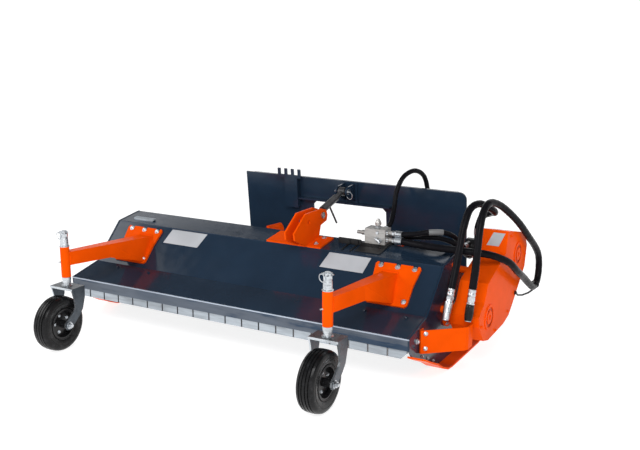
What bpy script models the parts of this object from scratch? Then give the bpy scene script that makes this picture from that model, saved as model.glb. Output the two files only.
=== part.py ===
"""Skid steer hammer flail mower: deck, casters, hammer rotor, belt drive, hitch plate, hydraulics."""
import math

import bmesh
import bpy
from mathutils import Vector

for old in list(bpy.data.objects):
    bpy.data.objects.remove(old, do_unlink=True)

# Frame: front of the deck lip is Y 0, deck centre is X 0, the ground is Z 0.
# The whole machine hangs on one empty that brings the box centre to the origin.
FRAME_X = 0.0670
FRAME_Y = 0.2563

GAP = 0.0003
HALF_WIDTH = 0.925
SIDE_T = 0.008
SHEET_T = 0.006
SHEET_HALF = HALF_WIDTH - SIDE_T - GAP

# Deck section, front to back, as (Y, Z) on the outer skin
LIP_BOTTOM = (0.004, 0.175)
LIP_TOP = (0.000, 0.230)
CREASE = (0.184, 0.270)
TOP_FRONT = (0.364, 0.448)
TOP_REAR = (0.520, 0.470)
BACK_BEND = (0.612, 0.330)
BACK_BOTTOM = (0.612, 0.140)
DECK_SECTION = [LIP_BOTTOM, LIP_TOP, CREASE, TOP_FRONT, TOP_REAR, BACK_BEND, BACK_BOTTOM]

# Lower edge of the side plates, which the skids follow
RUNNER = [(0.031, 0.144), (0.100, 0.110), (0.173, 0.077), (0.240, 0.038), (0.300, 0.0130),
          (0.345, 0.0083), (0.690, 0.0083), (0.740, 0.020), (0.775, 0.050)]
SKID_T = 0.008
SKID_OUT = HALF_WIDTH + 0.060
SKID_IN = HALF_WIDTH - 0.020

ROTOR_AXIS = (0.420, 0.222)
ROTOR_TUBE_R = 0.0625
ROTOR_END_GAP = 0.035
ROTOR_HALF = HALF_WIDTH - ROTOR_END_GAP
ROTOR_SHAFT_R = 0.020
HAMMER_TIP_R = 0.172
HAMMER_STATIONS = 16
HAMMER_END = 0.065
HAMMER_PITCH = 2.0 * (ROTOR_HALF - HAMMER_END) / (HAMMER_STATIONS - 1)
LUG_T = 0.006
LUG_INNER = 0.017

ROLLER_AXIS = (0.712, 0.057)
ROLLER_R = 0.057
ROLLER_END_GAP = 0.030
ROLLER_HALF = HALF_WIDTH - ROLLER_END_GAP
ROLLER_SHAFT_R = 0.015

# Casters: kingpin place, sleeve and fork
CASTER_X = HALF_WIDTH - 0.233
ARM_PLATE_X = HALF_WIDTH - 0.205
CASTER_Y = -0.269
SLEEVE_Z = (0.333, 0.478)
SLEEVE_R = 0.0215
SLEEVE_BORE = 0.0172
PIN_R = 0.0165
PIN_TOP = 0.540
FORK_TOP = 0.290
FORK_PLATE_Y = (-0.040, 0.043)
FORK_T = 0.010
FORK_ARM = (0.060, 0.068)
AXLE_Y = -0.338
AXLE_R = 0.0080
WHEEL_R = 0.1275
TYRE_HALF = 0.040
WHEEL_STEPS = 26
RIM_R = WHEEL_R - 0.055
RIM_WELL = RIM_R - 0.010
HUB_R = 0.018
HUB_HALF = 0.054

# Hitch: lower pivot, attach plate edges and the top link
HITCH_X = 0.208
HITCH_PIVOT = (0.778, 0.250)
HITCH_SPAN = 0.345
PLATE_X = (-0.428, 0.838)
PLATE_BOTTOM = (0.893, 0.235)
PLATE_TOP = (0.850, 0.681)
PLATE_T = 0.008
HOOK_REACH = 0.058
HOOK_FLAT = 0.0150
HOOK_DROP = 0.036
HOOK_SHORT = 0.045
PLATE_CORNER = 0.036
FOOT_REACH = 0.082
FOOT_DROP = 0.022
WINDOW_X = (-0.014, 0.408)
WINDOW_S = (0.120, 0.322)
WINDOW_CORNER = 0.018
TOWER_PIN = (0.508, 0.575)
EAR_PIN = (0.770, 0.643)
LINK_PIN_R = 0.0095

# Belt drive: the outline of cover and back plate, as (Y, Z)
BACK_PLATE = (HALF_WIDTH + 0.061, HALF_WIDTH + 0.069)
COVER_IN = BACK_PLATE[1] + 0.0005
COVER_OUT = COVER_IN + 0.1205
COVER_T = 0.003
COVER_OUTLINE = [(0.297, 0.265), (0.300, 0.218), (0.366, 0.138), (0.430, 0.122), (0.640, 0.133),
                 (0.715, 0.152), (0.768, 0.193), (0.935, 0.337), (0.957, 0.437), (0.935, 0.476),
                 (0.853, 0.523), (0.655, 0.568), (0.628, 0.470), (0.402, 0.388), (0.362, 0.310)]
MOTOR_AXIS = (0.815, 0.425)
VENTS = [(0.431, 0.228), (0.815, 0.425)]
PORTS = [(BACK_PLATE[0] - 0.102, 0.452), (BACK_PLATE[0] - 0.072, 0.412)]
PORT_FACE = 0.7453
TOP_PORT = (BACK_PLATE[0] - 0.071, 0.815, 0.4900)

# Hydraulics: the valve block's hose fittings and the hose sizes
SADDLE_X = (0.470, 0.600)
SADDLE_TOP = 0.4746
BLOCK_LOW = (0.480, 0.478)
BLOCK_HIGH = (0.584, 0.545, 0.546)
FITTING_FACE = 0.628
FITTINGS = [(0.497, 0.532), (0.497, 0.498), (0.529, 0.515)]
BACK_FITTING = (0.530, 0.5755, 0.520)
SUPPLY_R = 0.0170
LINE_R = 0.0125
COUPLER_R = 0.0185
HOSE_STEP = 4.4


def material(name, colour, metallic, roughness):
    mat = bpy.data.materials.new(name)
    mat.use_nodes = True
    shader = mat.node_tree.nodes["Principled BSDF"]
    shader.inputs["Base Color"].default_value = (*colour, 1.0)
    shader.inputs["Metallic"].default_value = metallic
    shader.inputs["Roughness"].default_value = roughness
    return mat


NAVY = material("navy_paint", (0.015, 0.030, 0.052), 0.0, 0.25)
ORANGE = material("orange_paint", (0.82, 0.085, 0.010), 0.0, 0.35)
ZINC = material("zinc_plate", (0.62, 0.66, 0.70), 1.0, 0.35)
STEEL = material("dark_steel", (0.12, 0.12, 0.13), 1.0, 0.45)
ALLOY = material("valve_alloy", (0.55, 0.56, 0.58), 1.0, 0.40)
RUBBER = material("tyre_rubber", (0.018, 0.018, 0.019), 0.0, 0.70)
BLACK = material("black_paint", (0.012, 0.012, 0.014), 0.0, 0.40)
HOSE = material("hose_rubber", (0.010, 0.010, 0.011), 0.0, 0.45)

root = bpy.data.objects.new("mower_frame", None)
root.location = (-FRAME_X, -FRAME_Y, 0.0)
bpy.context.scene.collection.objects.link(root)


class Piece:
    """Collects closed solids of one sub-part in deck coordinates, then makes its object."""

    def __init__(self, name, mat, origin=(0.0, 0.0, 0.0)):
        self.name = name
        self.mat = mat
        self.origin = Vector(origin)
        self.mesh = bmesh.new()
        self.smooth = False

    def solid(self, rings, closed_ends=True):
        """Skin equal rings of points one after another, with n-gon ends."""
        rows = [[self.mesh.verts.new(Vector(p)) for p in ring] for ring in rings]
        count = len(rows[0])
        faces = []
        for lower, upper in zip(rows, rows[1:]):
            for i in range(count):
                j = (i + 1) % count
                faces.append(self.mesh.faces.new((lower[i], lower[j], upper[j], upper[i])))
        if closed_ends:
            faces.append(self.mesh.faces.new(list(reversed(rows[0]))))
            faces.append(self.mesh.faces.new(rows[-1]))
        else:
            for i in range(count):
                j = (i + 1) % count
                faces.append(self.mesh.faces.new((rows[-1][i], rows[-1][j], rows[0][j], rows[0][i])))
        bmesh.ops.recalc_face_normals(self.mesh, faces=faces)
        return self

    def prism_x(self, outline, x0, x1):
        return self.solid([[(x, y, z) for y, z in outline] for x in (x0, x1)])

    def prism_z(self, outline, z0, z1):
        return self.solid([[(x, y, z) for x, y in outline] for z in (z0, z1)])

    def box(self, low, high):
        outline = [(low[1], low[2]), (high[1], low[2]), (high[1], high[2]), (low[1], high[2])]
        return self.prism_x(outline, low[0], high[0])

    def turned(self, profile, centre, axis, steps=24, hollow=False):
        """Turn (radius, height) points about an axis; a hollow profile is a closed section."""
        turn = Vector((0, 0, 1)).rotation_difference(Vector(axis)).to_matrix()
        rings = []
        for radius, height in profile:
            ring = []
            for k in range(steps):
                a = 2.0 * math.pi * k / steps
                ring.append(turn @ Vector((radius * math.cos(a), radius * math.sin(a), height)) + Vector(centre))
            rings.append(ring)
        self.smooth = True
        return self.solid(rings, closed_ends=not hollow)

    def rod(self, start, end, radius, steps=16):
        axis = Vector(end) - Vector(start)
        return self.turned([(radius, 0.0), (radius, axis.length)], start, axis.normalized(), steps)

    def ring(self, centre, axis, inner, outer, half, steps=28):
        profile = [(inner, -half), (outer, -half), (outer, half), (inner, half)]
        return self.turned(profile, centre, axis, steps, hollow=True)

    def make(self, holder=None):
        bmesh.ops.translate(self.mesh, verts=self.mesh.verts, vec=-self.origin)
        data = bpy.data.meshes.new(self.name)
        self.mesh.to_mesh(data)
        self.mesh.free()
        data.materials.append(self.mat)
        obj = bpy.data.objects.new(self.name, data)
        bpy.context.scene.collection.objects.link(obj)
        obj.parent = holder or root
        obj.location = self.origin
        if self.smooth:
            data.shade_smooth()
            data.set_sharp_from_angle(angle=math.radians(30.0))
        return obj


def cut(target, cutter):
    cutter.hide_render = True
    cutter.display_type = "WIRE"
    boolean = target.modifiers.new("cut_" + cutter.name, "BOOLEAN")
    boolean.operation = "DIFFERENCE"
    boolean.solver = "EXACT"
    boolean.object = cutter
    return target


def fuse(target, other):
    other.hide_render = True
    other.display_type = "WIRE"
    boolean = target.modifiers.new("join_" + other.name, "BOOLEAN")
    boolean.operation = "UNION"
    boolean.solver = "EXACT"
    boolean.object = other
    return target


def offset_path(path, distance):
    """Mitred copy of an open (u, v) path, moved to its left by distance."""
    moved = []
    for i, (u, v) in enumerate(path):
        before = Vector(path[i]) - Vector(path[i - 1]) if i > 0 else None
        after = Vector(path[i + 1]) - Vector(path[i]) if i < len(path) - 1 else None
        before = (before or after).normalized()
        after = (after or before).normalized()
        left = Vector((-before.y - after.y, before.x + after.x)).normalized()
        stretch = distance / max(0.2, left.dot(Vector((-before.y, before.x))))
        moved.append((u + left.x * stretch, v + left.y * stretch))
    return moved


def sheet(path, thickness, lift=0.0):
    """Section of a bent sheet: the path moved by lift and again by lift plus thickness."""
    return offset_path(path, lift) + list(reversed(offset_path(path, lift + thickness)))


# Deck shell and side plates
Piece("deck_shell", NAVY).prism_x(sheet(DECK_SECTION, -SHEET_T), -SHEET_HALF, SHEET_HALF).make()

SIDE_OUTLINE = ([LIP_BOTTOM, LIP_TOP, CREASE, TOP_FRONT, TOP_REAR, BACK_BEND, (0.700, 0.240), (0.785, 0.120)]
                + list(reversed(RUNNER)))
for side, label in ((-1, "left"), (1, "right")):
    inner = side * (HALF_WIDTH - SIDE_T)
    outer = side * HALF_WIDTH
    plate = Piece("side_plate_" + label, NAVY).prism_x(SIDE_OUTLINE, inner, outer).make()
    holes = Piece("side_holes_" + label, NAVY)
    holes.rod((inner - side * 0.02, *ROTOR_AXIS), (outer + side * 0.02, *ROTOR_AXIS), ROTOR_SHAFT_R + 0.006)
    holes.rod((inner - side * 0.02, *ROLLER_AXIS), (outer + side * 0.02, *ROLLER_AXIS), ROLLER_SHAFT_R + 0.001)
    cut(plate, holes.make())
    skid = Piece("skid_" + label, ORANGE)
    skid.prism_x(sheet(RUNNER, -SKID_T, -GAP), side * SKID_IN, side * SKID_OUT).make()

# Rotor bearings, one on each side plate
for side, label in ((-1, "left"), (1, "right")):
    bearing = Piece("rotor_bearing_" + label, ORANGE if side > 0 else BLACK)
    face = side * (HALF_WIDTH + GAP)
    profile = [(ROTOR_SHAFT_R + 0.0005, 0.0), (0.062, 0.0), (0.062, 0.010), (0.042, 0.016), (0.038, 0.034),
               (ROTOR_SHAFT_R + 0.0005, 0.034)]
    bearing.turned(profile, (face, *ROTOR_AXIS), (side, 0, 0), 20, hollow=True).make()

# Front flap rod, and the hanging steel flaps
FLAP_COUNT = 20
FLAP_AXIS = (0.018, 0.196)
FLAP_ROD_R = 0.004
FLAP_BOTTOM = 0.134
FLAP_GAP = 0.003
FLAP_T = 0.0045
FLAP_END = 0.004
FLAP_CORNER = 0.028
flaps = Piece("front_flaps", ZINC, (0.0, *FLAP_AXIS))
flaps.rod((-HALF_WIDTH + SIDE_T + GAP, *FLAP_AXIS), (HALF_WIDTH - SIDE_T - GAP, *FLAP_AXIS), FLAP_ROD_R, 8)
flaps = flaps.make()
row = Piece("flap_row", ZINC)
flap_pitch = 2.0 * (SHEET_HALF - FLAP_END) / FLAP_COUNT
for i in range(FLAP_COUNT):
    x0 = -SHEET_HALF + FLAP_END + i * flap_pitch + FLAP_GAP / 2
    x1 = x0 + flap_pitch - FLAP_GAP
    left_cut = FLAP_CORNER if i == 0 else 0.0
    right_cut = FLAP_CORNER if i == FLAP_COUNT - 1 else 0.0
    top = FLAP_AXIS[1] + 0.003
    outline = [(x0, top), (x1, top), (x1, FLAP_BOTTOM + right_cut)]
    if right_cut:
        outline.append((x1 - right_cut, FLAP_BOTTOM))
    if left_cut:
        outline.append((x0 + left_cut, FLAP_BOTTOM))
    outline.append((x0, FLAP_BOTTOM + left_cut))
    row.solid([[(x, y, z) for x, z in outline] for y in (FLAP_AXIS[0] - FLAP_T, FLAP_AXIS[0])])
fuse(flaps, row.make())

# Hammer rotor
rotor = Piece("rotor", STEEL, (0.0, *ROTOR_AXIS))
rotor_end = HALF_WIDTH + 0.050
rotor.turned([(ROTOR_SHAFT_R, -rotor_end), (ROTOR_SHAFT_R, -ROTOR_HALF), (ROTOR_TUBE_R, -ROTOR_HALF),
              (ROTOR_TUBE_R, ROTOR_HALF), (ROTOR_SHAFT_R, ROTOR_HALF), (ROTOR_SHAFT_R, rotor_end)],
             (0.0, *ROTOR_AXIS), (1, 0, 0), 14)
lugs = Piece("rotor_lugs", STEEL)
hammers = Piece("rotor_hammers", STEEL)


def polar(piece, outline, x0, x1, angle):
    """Extrude (tangent, radius) points along X, turned about the rotor axis."""
    ca, sa = math.cos(angle), math.sin(angle)
    points = [(ROTOR_AXIS[0] + r * ca - t * sa, ROTOR_AXIS[1] + r * sa + t * ca) for t, r in outline]
    piece.prism_x(points, x0, x1)


LUG_OUTLINE = [(-0.026, 0.0520), (0.026, 0.0520), (0.015, 0.096), (-0.015, 0.096)]
HAMMER_OUTLINE = [(-0.0190, 0.0720), (0.0190, 0.0720), (0.0190, 0.1100), (0.034, 0.1300), (0.034, HAMMER_TIP_R - 0.004),
                  (-0.034, HAMMER_TIP_R - 0.004), (-0.034, 0.1300), (-0.0190, 0.1100)]
for i in range(HAMMER_STATIONS):
    x = (i - (HAMMER_STATIONS - 1) / 2) * HAMMER_PITCH
    for half in range(2):
        angle = math.radians(67.5 * i + 180.0 * half)
        for lug_side in (-1, 1):
            polar(lugs, LUG_OUTLINE, x + lug_side * LUG_INNER, x + lug_side * (LUG_INNER + LUG_T), angle)
        ca, sa = math.cos(angle), math.sin(angle)
        rings = []
        for t0, t1 in ((-0.011, -0.016), (0.011, 0.016)):
            ring = []
            for dx, r in HAMMER_OUTLINE:
                t = t1 if r > 0.125 else t0
                ring.append((x + dx, ROTOR_AXIS[0] + r * ca - t * sa, ROTOR_AXIS[1] + r * sa + t * ca))
            rings.append(ring)
        hammers.solid(rings)
rotor = rotor.make()
fuse(rotor, lugs.make())
fuse(rotor, hammers.make())

# Rear roller
roller = Piece("rear_roller", BLACK, (0.0, *ROLLER_AXIS))
roller.turned([(ROLLER_SHAFT_R, -HALF_WIDTH - 0.004), (ROLLER_SHAFT_R, -ROLLER_HALF), (ROLLER_R, -ROLLER_HALF),
               (ROLLER_R, ROLLER_HALF), (ROLLER_SHAFT_R, ROLLER_HALF), (ROLLER_SHAFT_R, HALF_WIDTH + 0.004)],
              (0.0, *ROLLER_AXIS), (1, 0, 0), 24)
roller.make()

# Caster arms: a plate on the slanting deck panel, a tapered box and the kingpin sleeve
panel = Vector((TOP_FRONT[0] - CREASE[0], TOP_FRONT[1] - CREASE[1])).normalized()
panel_out = Vector((-panel.y, panel.x))


def on_panel(along, out):
    point = Vector(CREASE) + panel * along + panel_out * out
    return (point.x, point.y)


ARM_PLATE_HALF = 0.110
ARM_PLATE_FOOT = 0.102
ARM_PLATE_T = 0.010
ARM_PLATE_ALONG = (0.022, 0.228)
ARM_BOLT_X = (0.082, 0.0, -0.082)
ARM_SLOT = [(0.0120, 0.000), (0.0100, -0.014), (0.0050, -0.022), (-0.0050, -0.022), (-0.0100, -0.014), (-0.0120, 0.000)]
ARM_BEND_Y = 0.0
ARM_BEND_Z = (0.364, 0.431)
ARM_BEND_HALF = 0.029
ARM_ROOT_LOW = 0.064
ARM_ROOT_HIGH = 0.040
for side, label in ((-1, "left"), (1, "right")):
    cx = side * ARM_PLATE_X
    arm = Piece("caster_arm_" + label, ORANGE)
    a0, a1 = ARM_PLATE_ALONG
    outline = [(-ARM_PLATE_FOOT + 0.012, a0), (ARM_PLATE_FOOT - 0.012, a0), (ARM_PLATE_FOOT, a0 + 0.012),
               (ARM_PLATE_FOOT - 0.002, 0.132), (ARM_PLATE_HALF, a1 - 0.010), (ARM_PLATE_HALF - 0.006, a1)]
    for bolt_x in ARM_BOLT_X:
        outline += [(bolt_x + dx, a1 + da) for dx, da in ARM_SLOT]
    outline += [(-ARM_PLATE_HALF + 0.006, a1), (-ARM_PLATE_HALF, a1 - 0.010), (-ARM_PLATE_FOOT + 0.002, 0.132),
                (-ARM_PLATE_FOOT, a0 + 0.012)]
    arm.solid([[(cx + dx, *on_panel(a, out)) for dx, a in outline] for out in (GAP, GAP + ARM_PLATE_T)])
    arm = arm.make()
    box = Piece("arm_box_" + label, ORANGE)
    sx = side * CASTER_X
    y0 = CASTER_Y + 0.010
    low, high = on_panel(0.036, 0.004), on_panel(0.186, 0.004)
    box.solid([[(sx - 0.020, y0, 0.388), (sx + 0.020, y0, 0.388), (sx + 0.020, y0, 0.452), (sx - 0.020, y0, 0.452)],
               [(sx - ARM_BEND_HALF, ARM_BEND_Y, ARM_BEND_Z[0]), (sx + ARM_BEND_HALF, ARM_BEND_Y, ARM_BEND_Z[0]),
                (sx + ARM_BEND_HALF, ARM_BEND_Y, ARM_BEND_Z[1]), (sx - ARM_BEND_HALF, ARM_BEND_Y, ARM_BEND_Z[1])],
               [(sx - ARM_ROOT_LOW, *low), (sx + ARM_ROOT_LOW, *low), (sx + ARM_ROOT_HIGH, *high),
                (sx - ARM_ROOT_HIGH, *high)]])
    fuse(arm, box.make())
    sleeve = Piece("arm_sleeve_" + label, ORANGE)
    sleeve.rod((sx, CASTER_Y, SLEEVE_Z[0]), (sx, CASTER_Y, SLEEVE_Z[1]), SLEEVE_R, 24)
    fuse(arm, sleeve.make())
    bore = Piece("arm_bore_" + label, ORANGE)
    bore.rod((sx, CASTER_Y, SLEEVE_Z[0] - 0.05), (sx, CASTER_Y, SLEEVE_Z[1] + 0.05), SLEEVE_BORE, 24)
    cut(arm, bore.make())

# Caster forks and wheels
for side, label in ((-1, "left"), (1, "right")):
    sx = side * CASTER_X
    fork = Piece("caster_fork_" + label, ZINC, (sx, CASTER_Y, FORK_TOP))
    fork.turned([(PIN_R, FORK_TOP - 0.001), (PIN_R, PIN_TOP), (0.011, PIN_TOP), (0.011, PIN_TOP + 0.012)],
                (sx, CASTER_Y, 0.0), (0, 0, 1), 16)
    y0, y1 = CASTER_Y + FORK_PLATE_Y[0], CASTER_Y + FORK_PLATE_Y[1]
    fork = fork.make()
    bridge = Piece("fork_bridge_" + label, ZINC)
    bridge.box((sx - FORK_ARM[1], y0, FORK_TOP - FORK_T), (sx + FORK_ARM[1], y1, FORK_TOP))
    fuse(fork, bridge.make())
    for arm_side, tag in ((-1, "a"), (1, "b")):
        arm = Piece("fork_arm_" + label + tag, ZINC)
        outline = [(y0, FORK_TOP - 0.001), (y1, FORK_TOP - 0.001), (y1 - 0.002, FORK_TOP - 0.055),
                   (y1 - 0.019, FORK_TOP - 0.108), (AXLE_Y + 0.070, WHEEL_R + 0.0275), (AXLE_Y + 0.018, WHEEL_R - 0.0175),
                   (AXLE_Y + 0.002, WHEEL_R - 0.0235), (AXLE_Y - 0.014, WHEEL_R - 0.0195),
                   (AXLE_Y - 0.023, WHEEL_R - 0.0055), (AXLE_Y - 0.020, WHEEL_R + 0.0125),
                   (AXLE_Y + 0.038, WHEEL_R + 0.0585), (y0 + 0.019, FORK_TOP - 0.090), (y0 + 0.014, FORK_TOP - 0.050)]
        arm.prism_x(outline, sx + arm_side * FORK_ARM[0], sx + arm_side * FORK_ARM[1])
        fuse(fork, arm.make())
    axle = Piece("caster_axle_" + label, ZINC, (sx, AXLE_Y, WHEEL_R))
    shoulder = FORK_ARM[1] + GAP
    axle.turned([(0.0125, -0.080), (0.0125, -shoulder), (AXLE_R, -shoulder), (AXLE_R, shoulder), (0.0125, shoulder),
                 (0.0125, 0.080)], (sx, AXLE_Y, WHEEL_R), (1, 0, 0), 16)
    axle.make()
    holes = Piece("fork_holes_" + label, ZINC)
    holes.rod((sx - 0.1, AXLE_Y, WHEEL_R), (sx + 0.1, AXLE_Y, WHEEL_R), AXLE_R + GAP, 16)
    cut(fork, holes.make())
    rim = Piece("wheel_rim_" + label, BLACK, (sx, AXLE_Y, WHEEL_R))
    bore = AXLE_R + 0.0006
    flange = TYRE_HALF - 0.004
    rim.turned([(bore, -HUB_HALF), (HUB_R, -HUB_HALF), (HUB_R, -0.018), (RIM_WELL, -0.014), (RIM_WELL, -flange),
                (RIM_R, -flange), (RIM_R, flange), (RIM_WELL, flange), (RIM_WELL, 0.014), (HUB_R, 0.018),
                (HUB_R, HUB_HALF), (bore, HUB_HALF)],
               (sx, AXLE_Y, WHEEL_R), (1, 0, 0), WHEEL_STEPS, hollow=True)
    rim.make()
    tyre = Piece("wheel_tyre_" + label, RUBBER, (sx, AXLE_Y, WHEEL_R))
    bead = TYRE_HALF - 0.007
    tyre.turned([(RIM_R + GAP, -bead), (RIM_R + 0.018, -TYRE_HALF), (WHEEL_R - 0.016, -TYRE_HALF),
                 (WHEEL_R - 0.003, -TYRE_HALF + 0.009), (WHEEL_R, -0.014), (WHEEL_R, 0.014),
                 (WHEEL_R - 0.003, TYRE_HALF - 0.009), (WHEEL_R - 0.016, TYRE_HALF), (RIM_R + 0.018, TYRE_HALF),
                 (RIM_R + GAP, bead)], (sx, AXLE_Y, WHEEL_R), (1, 0, 0), WHEEL_STEPS, hollow=True)
    tyre.make()

# Rear beam along the deck's top rear edge, and the lower hitch arms
REAR_BEAM_X = (-0.262, 0.680)
BEAM_DEPTH = 0.080
BEAM_DROP = 0.028
BEAM_FOOT = 0.356
BEAM_T = 0.008
back_lean = (BACK_BEND[0] - TOP_REAR[0]) / (TOP_REAR[1] - BACK_BEND[1])


def on_back(z):
    """Y just behind the deck's slanting back at height z."""
    return TOP_REAR[0] + (TOP_REAR[1] - z) * back_lean + 2.0 * GAP


beam = Piece("rear_beam", ORANGE)
beam_y = TOP_REAR[0] + BEAM_DEPTH
beam_top = TOP_REAR[1] - BEAM_DROP
beam.prism_x([(on_back(beam_top), beam_top), (beam_y, beam_top), (beam_y, BEAM_FOOT), (beam_y - BEAM_T, BEAM_FOOT + 0.009),
              (beam_y - BEAM_T, beam_top - BEAM_T), (on_back(beam_top - BEAM_T), beam_top - BEAM_T)], *REAR_BEAM_X)
beam.make()
HITCH_ARM_T = 0.012
for end, label in ((-1, "left"), (1, "right")):
    arm = Piece("hitch_arm_" + label, ORANGE)
    cx = HITCH_X + end * HITCH_SPAN
    back = BACK_BEND[0] + GAP
    outline = [(back, 0.170), (0.745, 0.222), (0.770, 0.220), (0.792, 0.228), (0.806, 0.250), (0.800, 0.272),
               (0.745, 0.430), (0.728, 0.449), (0.6003, 0.4580), (0.6003, 0.352), (back, 0.338)]
    arm.prism_x(outline, cx - HITCH_ARM_T / 2, cx + HITCH_ARM_T / 2)
    arm = arm.make()
    holes = Piece("hitch_arm_hole_" + label, ORANGE)
    holes.rod((cx - 0.05, *HITCH_PIVOT), (cx + 0.05, *HITCH_PIVOT), 0.0132)
    cut(arm, holes.make())

# Top link tower: base on the deck top, two cheeks and a pin
TOWER_X = (0.008, 0.306)
CHEEKS = ((0.180, 0.188), (0.228, 0.236))
top_dir = Vector((TOP_REAR[0] - TOP_FRONT[0], TOP_REAR[1] - TOP_FRONT[1])).normalized()


def on_top(y, lift):
    z = TOP_FRONT[1] + (y - TOP_FRONT[0]) * top_dir.y / top_dir.x
    return (y, z + lift)


tower = Piece("top_link_tower", ORANGE)
tower.prism_x([on_top(0.362, GAP), on_top(0.494, GAP), on_top(0.494, 0.0083), on_top(0.362, 0.0083)], *TOWER_X)
tower = tower.make()
cheeks = Piece("tower_cheeks", ORANGE)
for x0, x1 in CHEEKS:
    cheeks.prism_x([on_top(0.366, 0.0040), (0.290, 0.482), (0.250, 0.503), (0.243, 0.537), (0.350, 0.610), (0.500, 0.608),
                    (0.548, 0.594), (0.560, 0.566), (0.552, 0.540), (0.494, 0.528), on_top(0.474, 0.0040)], x0, x1)
fuse(tower, cheeks.make())
holes = Piece("cheek_holes", ORANGE)
holes.rod((0.15, *TOWER_PIN), (0.26, *TOWER_PIN), LINK_PIN_R + GAP)
holes.rod((0.15, 0.378, 0.565), (0.26, 0.378, 0.565), 0.011)
cut(tower, holes.make())
pin = Piece("tower_pin", ZINC)
pin.turned([(LINK_PIN_R, 0.172), (LINK_PIN_R, 0.2365), (0.015, 0.2365), (0.015, 0.243)], (0.0, *TOWER_PIN), (1, 0, 0), 16)
pin.make()

# Attach plate: a bent plate with a window, hooks at the top and slots at the foot
up = Vector((PLATE_TOP[0] - PLATE_BOTTOM[0], PLATE_TOP[1] - PLATE_BOTTOM[1]))
PLATE_HEIGHT = up.length
up.normalize()
back = Vector((up.y, -up.x))


def on_plate(s, n):
    point = Vector(PLATE_BOTTOM) + up * s + back * n
    return (point.x, point.y)


hitch_origin = (HITCH_X, *HITCH_PIVOT)
plate_path = [on_plate(PLATE_HEIGHT - HOOK_DROP, HOOK_REACH), on_plate(PLATE_HEIGHT, HOOK_FLAT),
              on_plate(PLATE_HEIGHT, 0.0), on_plate(0.0, 0.0), on_plate(-FOOT_DROP, FOOT_REACH)]
attach = Piece("attach_plate", NAVY, hitch_origin)
attach.prism_x(sheet(plate_path, PLATE_T), *PLATE_X)
attach = attach.make()
window = Piece("window_cut", NAVY)
(wx0, wx1), (ws0, ws1), corner = WINDOW_X, WINDOW_S, WINDOW_CORNER
outline = [(wx0 + corner, ws0), (wx1 - corner, ws0), (wx1, ws0 + corner), (wx1, ws1 - corner),
           (wx1 - corner, ws1), (wx0 + corner, ws1), (wx0, ws1 - corner), (wx0, ws0 + corner)]
window.solid([[(x, *on_plate(s, n)) for x, s in outline] for n in (-0.02, 0.03)])
cut(attach, window.make())
trims = Piece("plate_trims", NAVY)
for x0, x1 in ((PLATE_X[0] - 0.02, PLATE_X[0] + HOOK_SHORT), (PLATE_X[1] - HOOK_SHORT, PLATE_X[1] + 0.02)):
    trims.prism_x([on_plate(PLATE_HEIGHT - HOOK_DROP - 0.03, PLATE_T + GAP), on_plate(PLATE_HEIGHT + 0.03, PLATE_T + GAP),
                   on_plate(PLATE_HEIGHT + 0.03, HOOK_REACH + 0.03),
                   on_plate(PLATE_HEIGHT - HOOK_DROP - 0.03, HOOK_REACH + 0.03)], x0, x1)
cut(attach, trims.make())
rounding = Piece("corner_rounding", NAVY)
cx, cs = PLATE_X[1] - PLATE_CORNER, PLATE_HEIGHT - PLATE_CORNER
outline = [(PLATE_X[1] + 0.02, cs), (PLATE_X[1] + 0.02, PLATE_HEIGHT + 0.02), (cx, PLATE_HEIGHT + 0.02)]
for k in range(7):
    a = math.pi / 2 * (1 - k / 6)
    outline.append((cx + PLATE_CORNER * math.cos(a), cs + PLATE_CORNER * math.sin(a)))
rounding.solid([[(x, *on_plate(s, n)) for x, s in outline] for n in (-0.02, 0.03)])
cut(attach, rounding.make())
slots = Piece("latch_slots", NAVY)
for end in (-1, 1):
    cx = HITCH_X + end * 0.395
    slots.prism_x([on_plate(-0.06, 0.032), on_plate(0.04, 0.032), on_plate(0.04, 0.058), on_plate(-0.06, 0.058)],
                  cx - 0.038, cx + 0.038)
cut(attach, slots.make())

WELD_IN = 0.004
stiffener = Piece("plate_rib", NAVY)
stiffener.prism_x([on_plate(0.332, WELD_IN), on_plate(0.332, -0.030), on_plate(0.340, -0.030), on_plate(0.340, WELD_IN)],
                  -0.120, 0.440)
fuse(attach, stiffener.make())
stiffener = Piece("plate_post", NAVY)
stiffener.prism_x([on_plate(0.285, WELD_IN), on_plate(0.285, -0.034), on_plate(0.446, -0.034), on_plate(0.446, WELD_IN)],
                  -0.166, -0.090)
fuse(attach, stiffener.make())
comb = Piece("hose_comb", NAVY, hitch_origin)
cx0, cx1 = -0.205, -0.068
teeth = 4
tooth = 0.016
comb_outline = [(cx0, 0.4463), (cx1, 0.4463)]
for i in range(teeth):
    x = cx1 - tooth - i * (cx1 - cx0 - tooth) / (teeth - 1)
    comb_outline += [(x + tooth, 0.494), (x, 0.494)]
    if i < teeth - 1:
        x_next = cx1 - tooth - (i + 1) * (cx1 - cx0 - tooth) / (teeth - 1)
        comb_outline += [(x, 0.462), (x_next + tooth, 0.462)]
comb.solid([[(x, *on_plate(s, n)) for x, s in comb_outline] for n in (-0.034, -0.026)])
comb.make()

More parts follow.
